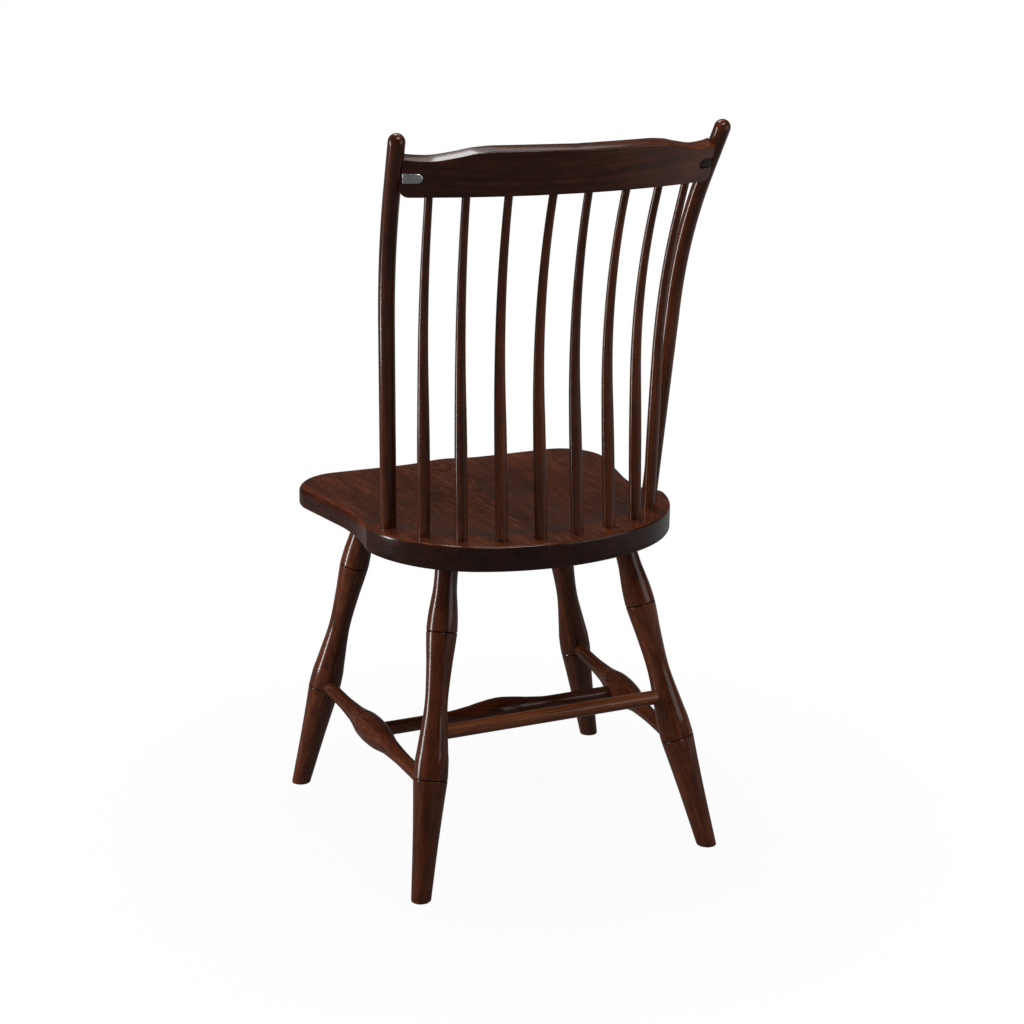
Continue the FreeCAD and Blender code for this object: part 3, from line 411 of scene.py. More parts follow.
def log_shift():
    """Where in the log a piece was cut from, in metres."""
    angle = rng.uniform(0, 2 * math.pi)
    reach = rng.uniform(0.018, 0.045)
    return (reach * math.cos(angle), reach * math.sin(angle), rng.uniform(0, 3.0))


def add_piece(name, data):
    piece = bpy.data.objects.new(name, data)
    bpy.context.scene.collection.objects.link(piece)
    return piece


def store(mesh, name, kind, values):
    data = mesh.attributes.new(name, kind, "POINT").data
    key = "vector" if kind == "FLOAT_VECTOR" else "value"
    data.foreach_set(key, np.asarray(values, np.float32).ravel())


def round_piece(name, points, radii, runs, seams, sides=ROUND_SIDES, tone=ROUND_TONE):
    """A turned or bent round piece along the points, which are in metres."""
    line = bpy.data.meshes.new(name)
    line.from_pydata([tuple(p) for p in points], [(i, i + 1) for i in range(len(points) - 1)], [])
    for key, values in (("girth", radii * MM), ("run", runs * MM), ("seam", seams), ("tone", tone),
                        ("wear", 0.0), ("figure", TURNED_FIGURE)):
        store(line, key, "FLOAT", np.broadcast_to(values, len(points)))
    piece = add_piece(name, line)
    turning = piece.modifiers.new("turning", "NODES")
    turning.node_group = TURNING
    turning[TURNING_SOCKETS["Sides"]] = sides
    turning[TURNING_SOCKETS["Log Shift"]] = log_shift()
    turning[TURNING_SOCKETS["Finish"]] = WOOD
    bpy.context.view_layer.update()
    made = bpy.data.meshes.new_from_object(piece.evaluated_get(bpy.context.evaluated_depsgraph_get()))
    piece.modifiers.remove(turning)
    piece.data = made
    made.name = name
    made.set_sharp_from_angle(angle=math.radians(50))
    return piece


def groove(spots, rings):
    """Depth of the scored rings at the spots, with softened lips, and their darkness."""
    depth = np.zeros(len(spots))
    for ring in rings:
        near = np.clip(1 - np.abs(spots - ring) / GROOVE_HALF, 0, 1)
        depth = np.maximum(depth, near ** GROOVE_LIP)
    return depth * GROOVE_DEPTH, np.clip(depth * GROOVE_DIRT, 0, 1)


def turned_piece(name, start, way, first, last, parts, rings=(), joints=(),
                 sides=ROUND_SIDES, tone=ROUND_TONE):
    """A straight turning from its first to its last station on the line from start."""
    spots = np.arange(first, last, STATION_STEP)
    fine = [np.linspace(ring - STATION_STEP, ring + STATION_STEP, 25) for ring in rings]
    fine += [np.linspace(joint - 2.0, joint + 2.0, 9) for joint in joints]
    spots = np.unique(np.concatenate([spots, [last]] + fine).round(3))
    spots = spots[(spots >= first) & (spots <= last)]
    spots = spots[np.concatenate([[True], np.diff(spots) > 0.05])]
    radii = np.zeros(len(spots))
    for part in parts:
        inside = (spots >= part[0][0]) & (spots <= part[-1][0])
        radii[inside] = eased(part, spots[inside]) / 2
    depth, seams = groove(spots, rings)
    for joint in joints:
        seams = np.maximum(seams, np.clip(1 - np.abs(spots - joint) / JOINT_SEAM, 0, 1))
    points = [start + way * (spot * MM) for spot in spots]
    return round_piece(name, points, radii - depth, spots, seams, sides, tone)


def leg_station(kind, side, z):
    foot = LEG_FEET[kind]
    return place(side * (foot["x"] - foot["splay"] * z), foot["y"] + foot["rake"] * z, z)


def deck_height(y):
    return SEAT_HEIGHT - y * math.tan(SEAT_SLOPE)


def leg_length(kind):
    foot = LEG_FEET[kind]
    under = deck_height(foot["y"]) - SEAT_THICKNESS / math.cos(SEAT_SLOPE)
    height = under / (1 + foot["rake"] * math.tan(SEAT_SLOPE))
    return height * math.sqrt(1 + foot["splay"] ** 2 + foot["rake"] ** 2)


def level_foot(piece):
    """Saw a leg off level with the floor and chamfer the sawn edge."""
    mesh = bmesh.new()
    mesh.from_mesh(piece.data)
    every = mesh.verts[:] + mesh.edges[:] + mesh.faces[:]
    cut = bmesh.ops.bisect_plane(mesh, geom=every, plane_co=(0, 0, 0), plane_no=(0, 0, -1),
                                 clear_outer=True)
    rim = [item for item in cut["geom_cut"] if isinstance(item, bmesh.types.BMEdge)]
    bmesh.ops.edgeloop_fill(mesh, edges=rim, mat_nr=0, use_smooth=False)
    rim = [edge for edge in mesh.edges if all(vert.co.z < 1e-6 for vert in edge.verts)]
    bmesh.ops.bevel(mesh, geom=rim, offset=FOOT_CHAMFER * MM, segments=2, profile=0.5, affect="EDGES")
    bmesh.ops.recalc_face_normals(mesh, faces=mesh.faces[:])
    mesh.to_mesh(piece.data)
    mesh.free()
    piece.data.set_sharp_from_angle(angle=math.radians(50))


finished = {}


def make_legs():
    for kind in ("front", "rear"):
        length = leg_length(kind)
        for word, side in SIDES:
            foot = leg_station(kind, side, 0.0)
            way = (leg_station(kind, side, 100.0) - foot).normalized()
            name = "leg_%s_%s" % (kind, word)
            leg = turned_piece("finished_" + name, foot, way, LEG_PARTS[0][0][0], length + LEG_TENON,
                               LEG_PARTS, LEG_RINGS, joints=(length,), tone=LEG_TONES[kind, word])
            level_foot(leg)
            finished[name] = leg


def side_line(side):
    start = leg_station("front", side, SIDE_FRONT_HEIGHT)
    end = leg_station("rear", side, SIDE_REAR_HEIGHT)
    return start, (end - start).normalized(), (end - start).length / MM


def make_stretchers():
    joints = {}
    for word, side in SIDES:
        start, way, length = side_line(side)
        joints[side] = start + way * (SIDE_JOINT * MM) - Vector((0, 0, CENTRE_DROP * MM))
        finished["side_stretcher_" + word] = turned_piece(
            "finished_side_stretcher_" + word, start, way, STRETCHER_TIP, length - STRETCHER_TIP,
            SIDE_PARTS, (SIDE_RING,), tone=SIDE_TONE)
    middle = (joints[1] + joints[-1]) / 2
    way = (joints[1] - joints[-1]).normalized()
    half = joints[1].x / MM - STRETCHER_TIP
    mirrored = tuple((-at, girth) for at, girth in reversed(CENTRE_HALF[1:]))
    finished["centre_stretcher"] = turned_piece(
        "finished_centre_stretcher", middle, way, -half, half, (mirrored + CENTRE_HALF,), tone=CENTRE_TONE)
    right, left = leg_station("rear", -1, REAR_HEIGHT), leg_station("rear", 1, REAR_HEIGHT)
    long = (left - right).length / MM
    finished["rear_stretcher"] = turned_piece(
        "finished_rear_stretcher", right, (left - right).normalized(), STRETCHER_TIP, long - STRETCHER_TIP,
        (((0.0, REAR_DIAMETER), (long, REAR_DIAMETER)),), sides=THIN_SIDES, tone=REAR_TONE)


rim_centre_y = RIM_BACK - RIM_RADIUS
change_angle = math.asin(RIM_CHANGE_X / RIM_RADIUS)
change_y = rim_centre_y + RIM_RADIUS * math.cos(change_angle)
chord = (SHOULDER[0] - RIM_CHANGE_X, SHOULDER[1] - change_y)
shoulder_radius = (chord[0] ** 2 + chord[1] ** 2) / (
    2 * (-chord[0] * math.sin(change_angle) - chord[1] * math.cos(change_angle)))
shoulder_centre = (RIM_CHANGE_X - shoulder_radius * math.sin(change_angle),
                   change_y - shoulder_radius * math.cos(change_angle))


def on_rim(run, inset):
    """The spot on the seat's rear rim, moved in by inset, a run along it from the middle."""
    radius = RIM_RADIUS - inset
    angle = run / radius
    if angle <= change_angle:
        return radius * math.sin(angle), rim_centre_y + radius * math.cos(angle)
    outer = shoulder_radius - inset
    angle = change_angle + (run - radius * change_angle) / outer
    return shoulder_centre[0] + outer * math.sin(angle), shoulder_centre[1] + outer * math.cos(angle)


def crest_middle(x):
    across = CREST_THICKNESS / math.cos(CREST_LEAN)
    return CREST_BACK - CREST_BOW + math.sqrt((CREST_BOW - across / 2) ** 2 - x ** 2)


def bent_line(foot, knee, top, bend, start, beyond):
    """Points along a straight, a bend and a straight, their runs, and the run of the top.

    The line begins a run start from the foot, and each of beyond is a run past the top.
    """
    low, high = (knee - foot).normalized(), (top - knee).normalized()
    turn = low.angle(high)
    tangent = bend * MM * math.tan(turn / 2)
    first = (knee - foot).length - tangent
    inward = (high - low * high.dot(low)).normalized()
    centre = foot + low * first + inward * bend * MM
    arc = bend * MM * turn
    total = first + arc + (top - knee).length - tangent
    runs = np.concatenate([np.linspace(start * MM, first, 40), np.linspace(first, first + arc, 24)[1:],
                           np.linspace(first + arc, total, 16)[1:], total + np.array(beyond) * MM])
    points = []
    for run in runs:
        if run <= first:
            points.append(foot + low * run)
        else:
            angle = min((run - first) / (bend * MM), turn)
            over = run - first - bend * MM * angle
            ahead = low * math.cos(angle) + inward * math.sin(angle)
            outward = low * math.sin(angle) - inward * math.cos(angle)
            points.append(centre + outward * bend * MM + ahead * over)
    return points, runs / MM, total / MM


def post_line(side, fit=0.0):
    foot = place(side * POST_FOOT[0], POST_FOOT[1], deck_height(POST_FOOT[1]))
    knee = place(side * POST_KNEE[0], *POST_KNEE[1:])
    top = place(side * POST_TOP[0], *POST_TOP[1:])
    radius = POST_RADIUS + fit
    dome = [radius * math.sin(math.radians(angle)) for angle in DOME_ANGLES]
    points, runs, total = bent_line(foot, knee, top, POST_BEND, -POST_TENON, dome + [radius])
    over = np.clip(runs - total, 0, radius)
    radii = np.sqrt(np.maximum(radius ** 2 - over ** 2, 0.02 ** 2))
    return points, radii, runs


def make_back():
    for word, side in SIDES:
        points, radii, runs = post_line(side)
        seams = np.clip(1 - np.abs(runs) / SOCKET_SEAM, 0, 1)
        finished["back_post_" + word] = round_piece(
            "finished_back_post_" + word, points, radii, runs, seams, tone=POST_TONES[side])
        for number, knee, top_x, forward in SPINDLES:
            x, y = on_rim((number - 0.5) * SPINDLE_PITCH, SPINDLE_INSET)
            foot = place(side * x, y, deck_height(y))
            top = place(side * top_x, crest_middle(top_x) - forward, CREST_BASE)
            bend = place(side * knee[0], *knee[1:])
            points, runs, total = bent_line(foot, bend, top, SPINDLE_BEND, -SPINDLE_TENON,
                                            (SPINDLE_TENON / 2, SPINDLE_TENON))
            upper = ((total, SPINDLE_TOP_GIRTH), (total + 21.0, SPINDLE_TOP_GIRTH))
            radii = eased(SPINDLE_GIRTH + upper, runs) / 2
            seams = np.clip(1 - np.abs(runs) / SOCKET_SEAM, 0, 1)
            name = "spindle_%s_%d" % (word, number)
            tone = 0.6 + 0.06 * math.sin(7.0 * number + side)
            finished[name] = round_piece("finished_" + name, points, radii, runs, seams, THIN_SIDES, tone)


def smooth(share):
    share = np.clip(share, 0.0, 1.0)
    return share * share * (3 - 2 * share)


def saddle_start(x):
    """The rear edge of the saddle, where the flat deck ends."""
    across = np.minimum(np.abs(x) / SADDLE_REACH_X, 1.0)
    return np.maximum(SADDLE_REACH_Y * np.sqrt(1 - across ** 2), SADDLE_LEAST_Y)


def saddle_depth(x, y):
    """How far the sitting surface, with its two dishes, lies under the plane of the rear deck."""
    ramp = smooth((saddle_start(x) - y) / SADDLE_RAMP)
    depth = SADDLE_DROP * ramp
    along = ((y - DISH["y"]) / DISH["half_length"]) ** 2
    for side in (1, -1):
        across = ((x - side * DISH["x"]) / DISH["half_width"]) ** 2
        depth = depth + DISH["depth"] * np.exp(-across - along) * ramp
    across = (x / POMMEL["half_width"]) ** 2
    return depth - POMMEL["height"] * np.exp(-across - ((y + SEAT_FRONT) / POMMEL["half_length"]) ** 2)


def arc_points(first, middle, last, count):
    """Points on the arc through three spots, without the first."""
    (ax, ay), (bx, by), (cx, cy) = first, middle, last
    d = 2 * (ax * (by - cy) + bx * (cy - ay) + cx * (ay - by))
    a2, b2, c2 = ax * ax + ay * ay, bx * bx + by * by, cx * cx + cy * cy
    ux = (a2 * (by - cy) + b2 * (cy - ay) + c2 * (ay - by)) / d
    uy = (a2 * (cx - bx) + b2 * (ax - cx) + c2 * (bx - ax)) / d
    radius = math.hypot(ax - ux, ay - uy)
    begin, end = math.atan2(ay - uy, ax - ux), math.atan2(cy - uy, cx - ux)
    sweep = (end - begin + math.pi) % (2 * math.pi) - math.pi
    return [(ux + radius * math.cos(begin + sweep * (i + 1) / count),
             uy + radius * math.sin(begin + sweep * (i + 1) / count)) for i in range(count)]


def seat_outline():
    """Half of the plank's outline, from the middle of the back round to the front.

    Returns the number of the point at the shoulder too, where the outline has a corner.
    """
    half = [(0.0, RIM_BACK)]
    half += [(RIM_RADIUS * math.sin(change_angle * (i + 1) / 28),
              rim_centre_y + RIM_RADIUS * math.cos(change_angle * (i + 1) / 28)) for i in range(28)]
    last = math.atan2(SHOULDER[0] - shoulder_centre[0], SHOULDER[1] - shoulder_centre[1])
    for i in range(50):
        angle = change_angle + (last - change_angle) * (i + 1) / 50
        half.append((shoulder_centre[0] + shoulder_radius * math.sin(angle),
                     shoulder_centre[1] + shoulder_radius * math.cos(angle)))
    corner = len(half) - 1
    half += arc_points(SHOULDER, WAIST, FLANK, 32)
    corner_y = -SEAT_FRONT + CORNER_RADIUS
    side = (CORNER_X + CORNER_RADIUS * math.cos(FLANK_ANGLE),
            corner_y + CORNER_RADIUS * math.sin(FLANK_ANGLE))
    half += [(FLANK[0] + (side[0] - FLANK[0]) * (i + 1) / 24,
              FLANK[1] + (side[1] - FLANK[1]) * (i + 1) / 24) for i in range(24)]
    for i in range(36):
        angle = FLANK_ANGLE - (FLANK_ANGLE + math.pi / 2) * (i + 1) / 36
        half.append((CORNER_X + CORNER_RADIUS * math.cos(angle),
                     corner_y + CORNER_RADIUS * math.sin(angle)))
    half += [(CORNER_X * (1 - (i + 1) / 40), -SEAT_FRONT) for i in range(40)]
    return half, corner


def seat_stain_and_painted_light(points):
    """Stain lightness at points of the plank, with light and shade painted in: painted light on the deck,
    the front and the waist.

    Painted shade on the ramp behind the saddle, the sides and the rear rim.
    """
    x, y, z = points.T
    on_top = smooth((z + saddle_depth(x, y) + 3.0) / 3.0)
    share = np.clip((saddle_start(x) - y) / SADDLE_RAMP, 0.0, 1.0)
    ramp = 4 * share * (1 - share)
    deck = 1 - smooth(2 * share)
    front = smooth((np.hypot(x / 1.05, y + 20.0) - 150.0) / 60.0) * smooth((40.0 - y) / 60.0)
    shaded_rear_rim = smooth((y - 20.0) / 60.0)
    waist = np.exp(-((y - 22.0) / 26.0) ** 2)
    # Painted light on the deck and the front, painted shade on the ramp behind the saddle.
    top = TOP_LIT_TONE + 0.08 * deck - 0.16 * ramp + 0.06 * front
    # The edge is painted in shade, darker still at the rear rim, with painted light at the waist.
    side = SIDE_EDGE_SHADED_TONE - 0.06 * shaded_rear_rim + 0.28 * waist
    return top * on_top + side * (1 - on_top)


# The spot where the sitting surface's rows meet, the stain on top with its painted light and on
# the edge with its painted shade, the worn stain from the underside to the top, the log's pith
# beside and over the plank, and how many rows from the underside up keep a sharp corner at the shoulder.
SEAT_MIDDLE = (0.0, -15.0)
TOP_LIT_TONE, SIDE_EDGE_SHADED_TONE = 0.56, 0.26
UNDER_WEAR, EDGE_WEAR, TOP_WEAR, WORN_FROM = 0.1, 0.9, 0.35, 0.86
SEAT_PITH = (12.0, 62.0)
CORNER_ROWS = 12


def make_seat():
    half, corner = seat_outline()
    outline = np.array(half + [(-x, y) for x, y in reversed(half[1:-1])])
    count = len(outline)
    ahead = np.roll(outline, -1, axis=0) - outline
    behind = outline - np.roll(outline, 1, axis=0)
    ahead /= np.linalg.norm(ahead, axis=1)[:, None]
    behind /= np.linalg.norm(behind, axis=1)[:, None]
    way = ahead + behind
    way /= np.linalg.norm(way, axis=1)[:, None]
    inward = np.stack([way[:, 1], -way[:, 0]], axis=1)
    inward /= np.abs(np.sum(inward * np.stack([ahead[:, 1], -ahead[:, 0]], axis=1), axis=1))[:, None]

    roll = DECK_ROLL + (SIDE_ROLL - DECK_ROLL) * smooth((SHOULDER[1] + 6.0 - outline[:, 1]) / 30.0)
    edge_height = -saddle_depth(outline[:, 0], outline[:, 1])
    rows = []
    wear = []

    def row(inset, height, worn):
        spots = outline + inward * np.broadcast_to(inset, count)[:, None]
        rows.append(np.column_stack([spots, np.broadcast_to(height, count)]))
        wear.append(np.broadcast_to(worn, count))

    for angle in np.radians((90.0, 67.5, 45.0, 22.5, 0.0)):
        row(UNDER_ROLL * (1 - math.cos(angle)), -SEAT_THICKNESS + UNDER_ROLL * (1 - math.sin(angle)),
            UNDER_WEAR)
    side_top = edge_height - roll
    for share in (0.25, 0.5, 0.75, 1.0):
        row(0.0, side_top * share + (-SEAT_THICKNESS + UNDER_ROLL) * (1 - share), 0.0)
    for angle in np.radians(np.linspace(0, 90, 11)[1:]):
        inset = roll * (1 - math.cos(angle))
        spots = outline + inward * inset[:, None]
        top = -saddle_depth(spots[:, 0], spots[:, 1])
        row(inset, top - roll * (1 - math.sin(angle)), EDGE_WEAR * math.sin(2 * angle))
    inner = rows[-1][:, :2]
    middle = np.array(SEAT_MIDDLE)
    for share in np.linspace(1, 0, 48)[1:-1]:
        spots = middle + (inner - middle) * share
        rows.append(np.column_stack([spots, -saddle_depth(spots[:, 0], spots[:, 1])]))
        wear.append(np.full(count, max(0.0, TOP_WEAR * (share - WORN_FROM) / (1 - WORN_FROM))))
    points = np.concatenate(rows + [np.array([[*middle, -saddle_depth(*middle)]])])
    worn = np.concatenate(wear + [np.zeros(1)])

    faces = [tuple(range(count))]
    for level in range(len(rows) - 1):
        for i in range(count):
            j = (i + 1) % count
            low, high = level * count, (level + 1) * count
            faces.append((low + i, high + i, high + j, low + j))
    last = (len(rows) - 1) * count
    faces += [(last + i, len(points) - 1, last + (i + 1) % count) for i in range(count)]
    turn = Matrix.Rotation(-SEAT_SLOPE, 4, "X")
    shift = place(0, 0, SEAT_HEIGHT)
    mesh = bpy.data.meshes.new("finished_seat")
    mesh.from_pydata([tuple(turn @ Vector(p * MM) + shift) for p in points], [], faces)
    x, y, z = points.T
    grain = np.column_stack([x - SEAT_PITH[0] + 0.045 * y, z - SEAT_PITH[1] - 0.06 * y, y]) * MM
    dress(mesh, grain, worn, seat_stain_and_painted_light(points), SEAT_FIGURE)
    mesh.set_sharp_from_angle(angle=math.radians(60))
    flags = mesh.attributes.get("sharp_edge") or mesh.attributes.new("sharp_edge", "BOOLEAN", "EDGE")
    for edge in mesh.edges:
        a, b = edge.vertices
        upright = abs(a - b) == count and max(a, b) < CORNER_ROWS * count
        if upright and a % count in (corner, count - corner):
            flags.data[edge.index].value = True
    finished["seat"] = add_piece("finished_seat", mesh)


def face_outwards(mesh):
    shaped = bmesh.new()
    shaped.from_mesh(mesh)
    bmesh.ops.recalc_face_normals(shaped, faces=shaped.faces[:])
    shaped.to_mesh(mesh)
    shaped.free()


def dress(mesh, grain, worn, tone, figure, material=WOOD):
    """Give a mesh its attributes for the materials, and its finish."""
    count = len(mesh.vertices)
    store(mesh, "grain", "FLOAT_VECTOR", grain)
    for name, values in (("wear", worn), ("seam", 0.0), ("tone", tone), ("figure", figure)):
        store(mesh, name, "FLOAT", np.broadcast_to(values, count))
    mesh.materials.clear()
    mesh.materials.append(material)
    mesh.polygons.foreach_set("use_smooth", [True] * len(mesh.polygons))
    face_outwards(mesh)


# The stain in the middle of the crest rail and how much it changes along the rail: painted
# shade darkens the left end and a painted sheen lightens the right end. Then where the rail lies in its
# log, in metres.
CREST_TONE_AND_SHADING = (0.46, 0.15)
CREST_PITH = (0.043, 0.035, 5.0)
CREST_UP = Vector((0, math.sin(CREST_LEAN), math.cos(CREST_LEAN)))
CREST_OUT = Vector((0, math.cos(CREST_LEAN), -math.sin(CREST_LEAN)))
CREST_ORIGIN = place(0, CREST_BACK, CREST_BASE)


def crest_depths(x):
    """Depths of the front and the back face, square to the leaning board."""
    across = CREST_THICKNESS / math.cos(CREST_LEAN)
    back = math.sqrt(CREST_BOW ** 2 - x ** 2) - CREST_BOW
    front = math.sqrt((CREST_BOW - across) ** 2 - x ** 2) - CREST_BOW
    return front * math.cos(CREST_LEAN), back * math.cos(CREST_LEAN)


def crest_section(x, top):
    """The board's section at x, as (height, depth) pairs with softened arrises."""
    drop = (CREST_BOW - math.sqrt(CREST_BOW ** 2 - x ** 2)) * math.sin(CREST_LEAN)
    front, back = crest_depths(x)
    low, high = -drop, top - drop
    over = abs(x) - (CREST_END - CREST_CORNER)
    if over > 0:
        low += CREST_CORNER - math.sqrt(max(CREST_CORNER ** 2 - over ** 2, 0.0))
    points = []
    corners = ((low, back, 1, -1), (high, back, -1, -1), (high, front, -1, 1), (low, front, 1, 1))
    for index, (height, depth, up, out) in enumerate(corners):
        along_height = index % 2 == 0
        steps = np.radians(np.linspace(0, 90, 6))
        if not along_height:
            steps = steps[::-1]
        for angle in steps:
            points.append((height + up * CREST_ARRIS - up * CREST_ARRIS * math.cos(angle),
                           depth + out * CREST_ARRIS - out * CREST_ARRIS * math.sin(angle)))
        next_height, next_depth = corners[(index + 1) % 4][:2]
        rise, sink = (up * CREST_ARRIS, 0.0) if along_height else (0.0, out * CREST_ARRIS)
        for share in (0.2, 0.4, 0.6, 0.8) if along_height else (0.5,):
            points.append((height + rise + (next_height - height - 2 * rise) * share,
                           depth + sink + (next_depth - depth - 2 * sink) * share))
    return points


def prism(name, sections):
    """A mesh through sections that have the same number of points, with flat ends."""
    count = len(sections[0])
    faces = [tuple(reversed(range(count))), tuple((len(sections) - 1) * count + i for i in range(count))]
    for level in range(len(sections) - 1):
        for i in range(count):
            j = (i + 1) % count
            low, high = level * count, (level + 1) * count
            faces.append((low + i, low + j, high + j, high + i))
    mesh = bpy.data.meshes.new(name)
    mesh.from_pydata([tuple(p) for section in sections for p in section], [], faces)
    face_outwards(mesh)
    return mesh


PLATE_RISE = 24.4
PLATE_HEIGHT = 12.6
PLATE_LENGTH = 24.0
PLATE_THICKNESS = 2.6
PLATE_BEVEL = 1.6
PLATE_RECESS = 0.4
PLATE_GAP = 0.15

# How far each plate's face stands out of the crest rail, and how much its steel is painted dark as shade.
PLATE_FACE = {1: 0.9, -1: -1.0}
PLATE_PAINTED_SHADE = {1: 0.0, -1: 1.0}


def plate_matrix(side):
    """Frame on the crest's back face: X to the post, Z out of the face."""
    x = CREST_END - PLATE_LENGTH / 2
    y = CREST_BACK - CREST_BOW + math.sqrt(CREST_BOW ** 2 - x ** 2)
    origin = place(side * x, y, CREST_BASE) + CREST_UP * (PLATE_RISE * MM)
    bow = math.asin(x / CREST_BOW)
    x_way = Vector((side * math.cos(bow), -math.sin(bow), 0))
    z_way = (x_way.cross(CREST_UP) * -side).normalized()
    y_way = z_way.cross(x_way)
    matrix = Matrix((x_way, y_way, z_way)).transposed().to_4x4()
    matrix.translation = origin
    return matrix


def slab_outline(height, inner, outer, inset=0.0):
    """Outline of a plate with one rounded end."""
    nose = height / 2
    half = height / 2 - inset
    points = [(outer - inset, -half), (outer - inset, half)]
    for i in range(17):
        angle = math.pi / 2 + math.pi * i / 16
        points.append((-inner + nose + half * math.cos(angle), half * math.sin(angle)))
    return points


def slab(name, side, layers):
    """A plate or its slot: layers are (height over the face, outline)."""
    matrix = plate_matrix(side)
    sections = [[matrix @ (Vector((x, y, level)) * MM) for x, y in line] for level, line in layers]
    return prism(name, sections)


def carve(mesh, cutters):
    """Cut the cutters out of a mesh."""
    holder = add_piece("carving", mesh)
    for cutter in cutters:
        tool = add_piece("cutter", cutter)
        step = holder.modifiers.new("carve", "BOOLEAN")
        step.operation = "DIFFERENCE"
        step.solver = "EXACT"
        step.object = tool
        bpy.context.view_layer.update()
        made = bpy.data.meshes.new_from_object(holder.evaluated_get(bpy.context.evaluated_depsgraph_get()))
        holder.modifiers.clear()
        holder.data = made
        bpy.data.objects.remove(tool)
    made = holder.data
    bpy.data.objects.remove(holder)
    return made


def make_plate(word, side):
    """A steel plate with a softly bevelled face, in its slot."""
    reach, face = PLATE_LENGTH / 2, PLATE_FACE[side]
    outline = slab_outline(PLATE_HEIGHT, reach, reach)
    levels = [(-PLATE_RECESS - PLATE_THICKNESS, outline), (face - PLATE_BEVEL, outline)]
    for angle in np.radians((15.0, 40.0, 65.0, 90.0)):
        inset = PLATE_BEVEL * (1 - math.cos(angle))
        rise = face - PLATE_BEVEL * (1 - math.sin(angle))
        levels.append((rise, slab_outline(PLATE_HEIGHT, reach, reach, inset)))
    plate = slab("finished_crest_plate_" + word, side, levels)
    spots = np.array([tuple(plate_matrix(side).inverted() @ v.co) for v in plate.vertices])
    dress(plate, spots[:, [1, 2, 0]], 0.0, PLATE_PAINTED_SHADE[side], 0.0, STEEL)
    plate.set_sharp_from_angle(angle=math.radians(35))
    finished["crest_plate_" + word] = add_piece(plate.name, plate)


PIECE_ATTRIBUTES = ("grain", "wear", "seam", "tone", "figure", "round", "girth", "run")


def make_crest():
    base = np.linspace(0, CREST_END - CREST_CORNER, 78)
    tip = CREST_END - CREST_CORNER * (1 - np.sin(np.radians(np.linspace(0, 86, 13)[1:])))
    right = np.concatenate([base, tip, [CREST_END]])
    stations = np.concatenate([-right[::-1], right[1:]])
    tops = eased(CREST_EDGE, np.abs(stations))
    sections = []
    for x, top in zip(stations, tops):
        spot = CREST_ORIGIN + Vector((x * MM, 0, 0))
        sections.append([spot + CREST_UP * (height * MM) + CREST_OUT * (depth * MM)
                         for height, depth in crest_section(x, top)])
    mesh = prism("crest", sections)
    cutters = []
    for word, side in SIDES:
        outline = slab_outline(PLATE_HEIGHT + 2 * PLATE_GAP, PLATE_LENGTH / 2 + PLATE_GAP, PLATE_LENGTH)
        floor_level = -(PLATE_RECESS + PLATE_THICKNESS + PLATE_GAP)
        cutters.append(slab("slot", side, ((floor_level, outline), (PLATE_HEIGHT / 2, outline))))
        points, radii, runs = post_line(side, POST_FIT)
        cutter = round_piece("cope", points, radii, runs, np.zeros(len(runs)))
        cutters.append(cutter.data)
        bpy.data.objects.remove(cutter)
        make_plate(word, side)
    mesh = carve(mesh, cutters)
    mesh.name = "finished_crest_rail"
    spots = np.array([tuple(v.co - CREST_ORIGIN) for v in mesh.vertices])
    up = spots @ np.array(CREST_UP)
    out = spots @ np.array(CREST_OUT)
    bow = (np.sqrt(CREST_BOW ** 2 - np.minimum((spots[:, 0] / MM) ** 2, CREST_BOW ** 2)) - CREST_BOW) * MM
    grain = np.column_stack([up - CREST_PITH[0] + 0.02 * spots[:, 0], out - bow + CREST_PITH[1],
                             spots[:, 0] + CREST_PITH[2]])
    for name in [a.name for a in mesh.attributes if a.name in PIECE_ATTRIBUTES]:
        mesh.attributes.remove(mesh.attributes[name])
    # Painted shade at the left end of the rail, painted sheen at its right end.
    tone = CREST_TONE_AND_SHADING[0] - CREST_TONE_AND_SHADING[1] * spots[:, 0] / (CREST_END * MM)
    dress(mesh, grain, 0.0, tone, CREST_FIGURE)
    mesh.set_sharp_from_angle(angle=math.radians(40))
    finished["crest_rail"] = add_piece("finished_crest_rail", mesh)


make_legs()
make_stretchers()
make_back()
make_seat()
make_crest()

for node, piece in finished.items():
    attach(piece, "root")
    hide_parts(node)


# How bright the white backdrop is in the lacquer and for diffuse rays. The camera sees it
# white. In the lacquer the floor glows as a painted pool of light, brighter from the first to the second
# x, in metres.
WHITE = (1.0, 1.0, 1.0, 1.0)
BACKDROP_IN_GLOSS = 0.045
AMBIENT = 0.07
FLOOR_PAINTED_GLOW_X = (-0.7, -1.6)
FLOOR_PAINTED_GLOW = (0.12, 0.28)
FLOOR_BOUNCE = (0.22, 0.22, 0.22, 1.0)
FLOOR_SHADED = (0.8, 0.8, 0.8, 1.0)
FLOOR_SIZE = 60.0
FLOOR_LEVEL = -0.0004
SHADOW_SHARE = 0.05
SHADOW_REACH = (0.25, 0.75)


def backdrop_rays(shading, in_gloss):
    """The kinds of ray, with a backdrop's strength in those that see it white and in a gloss."""
    path = shading.node("ShaderNodeLightPath")
    clear = shading.math("MAXIMUM", path.outputs["Is Camera Ray"], path.outputs["Is Transmission Ray"])
    gloss = shading.math("MULTIPLY", path.outputs["Is Glossy Ray"], in_gloss)
    return path, clear, gloss


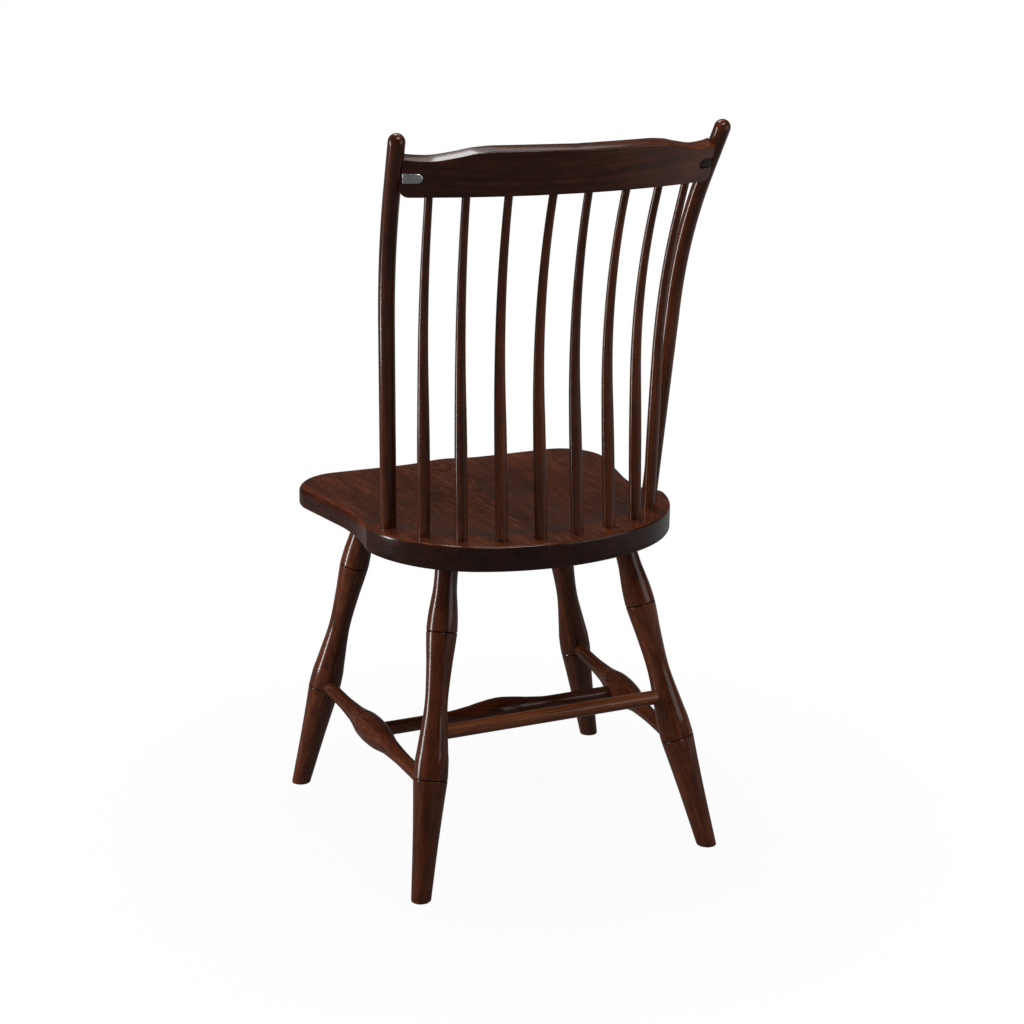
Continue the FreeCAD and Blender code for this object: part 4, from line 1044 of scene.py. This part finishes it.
def make_floor():
    sheet = bpy.data.meshes.new("floor")
    ways = ((-1, -1), (1, -1), (1, 1), (-1, 1))
    corners = [(x * FLOOR_SIZE, y * FLOOR_SIZE, FLOOR_LEVEL) for x, y in ways]
    sheet.from_pydata(corners, [], [(0, 1, 2, 3)])
    paint = Shading(bpy.data.materials.new("pale_floor"))
    spot = paint.node("ShaderNodeTexCoord").outputs["Object"]
    away = paint.node("ShaderNodeVectorMath", {0: spot}, operation="LENGTH").outputs["Value"]
    across = paint.node("ShaderNodeSeparateXYZ", {0: spot}).outputs[0]
    # Painted light: the floor glows in reflections only, brighter towards -x.
    painted_floor_glow = paint.span(across, *FLOOR_PAINTED_GLOW_X, *FLOOR_PAINTED_GLOW)
    path, clear, gloss = backdrop_rays(paint, painted_floor_glow)
    seen = paint.math("MULTIPLY", clear, paint.span(away, *SHADOW_REACH, 1.0 - SHADOW_SHARE, 1.0))
    share = paint.math("MAXIMUM", seen, path.outputs["Is Glossy Ray"])
    pale = paint.blend(clear, FLOOR_BOUNCE, FLOOR_SHADED)
    matt = paint.node("ShaderNodeBsdfDiffuse", {"Color": pale})
    strength = paint.math("MAXIMUM", clear, gloss)
    glow = paint.node("ShaderNodeEmission", {"Color": WHITE, "Strength": strength})
    mixed = paint.node("ShaderNodeMixShader", {0: share, 1: matt.outputs[0], 2: glow.outputs[0]})
    paint.put(paint.tree.nodes["Material Output"].inputs["Surface"], mixed.outputs[0])
    sheet.materials.append(paint.owner)
    add_piece("floor", sheet)


def make_world():
    world = bpy.data.worlds.new("studio")
    bpy.context.scene.world = world
    studio = Shading(world)
    path, clear, gloss = backdrop_rays(studio, BACKDROP_IN_GLOSS)
    ambient = studio.math("MULTIPLY", path.outputs["Is Diffuse Ray"], AMBIENT)
    strength = studio.math("MAXIMUM", clear, studio.math("ADD", gloss, ambient))
    back = studio.tree.nodes["Background"]
    back.inputs["Color"].default_value = WHITE
    studio.put(back.inputs["Strength"], strength)


# Each lamp in metres: spot, aim, width, height, brightness, and whether the lacquer shows it.
LAMPS = (
    ("left_strip", (1.62, -0.42, 0.62), (0.0, 0.0, 0.5), 0.26, 1.0, 15.0, True),
    ("left_fill", (1.70, -0.20, 0.80), (0.0, 0.0, 0.5), 1.2, 1.2, 1.5, False),
    ("right_panel", (-1.25, 1.45, 0.95), (0.0, 0.0, 0.5), 1.2, 1.0, 1.1, True),
    ("key_top", (0.12, -0.50, 2.12), (0.0, 0.0, 0.5), 0.45, 0.5, 7.0, True),
    ("key_veil", (-0.15, -0.55, 2.13), (0.0, 0.0, 0.5), 1.3, 0.8, 1.1, True),
    ("soft_top", (0.0, 0.1, 2.4), (0.0, 0.0, 0.5), 1.8, 1.8, 0.95, False),
    ("back_top", (-0.05, 1.20, 2.3), (0.1, 0.2, 0.9), 0.9, 0.4, 9.0, True),
)


def softbox(name, spot, aim, width, height, brightness, in_gloss):
    """A lamp with an even face of this brightness, where 1 is white."""
    lamp = bpy.data.lights.new(name, "AREA")
    lamp.shape = "RECTANGLE"
    lamp.size, lamp.size_y = width, height
    lamp.energy = brightness * math.pi * width * height
    box = add_piece(name, lamp)
    box.location = spot
    box.visible_glossy = in_gloss
    box.rotation_mode = "QUATERNION"
    box.rotation_quaternion = (Vector(spot) - Vector(aim)).to_track_quat("Z", "Y")


# The camera that the photograph was solved for: its ways in the frame and its spot in metres.
CAMERA_LENS = 72.23
CAMERA_RIGHT = (-0.915756, 0.401733, 0.000932)
CAMERA_UP = (-0.112048, -0.257642, 0.959722)
CAMERA_BACK = (0.385792, 0.878767, 0.280950)
CAMERA_SPOT = (1.04000, 2.394873, 1.19292)


def make_camera():
    camera = bpy.data.cameras.new("camera")
    camera.lens = CAMERA_LENS
    camera.sensor_width = 36.0
    camera.clip_end = 200.0
    holder = add_piece("camera", camera)
    matrix = Matrix((CAMERA_RIGHT, CAMERA_UP, CAMERA_BACK)).transposed().to_4x4()
    matrix.translation = Vector(CAMERA_SPOT)
    holder.matrix_world = matrix
    bpy.context.scene.camera = holder


make_floor()
make_world()
for lamp in LAMPS:
    softbox(*lamp)
make_camera()
bpy.context.scene.view_settings.view_transform = "Standard"
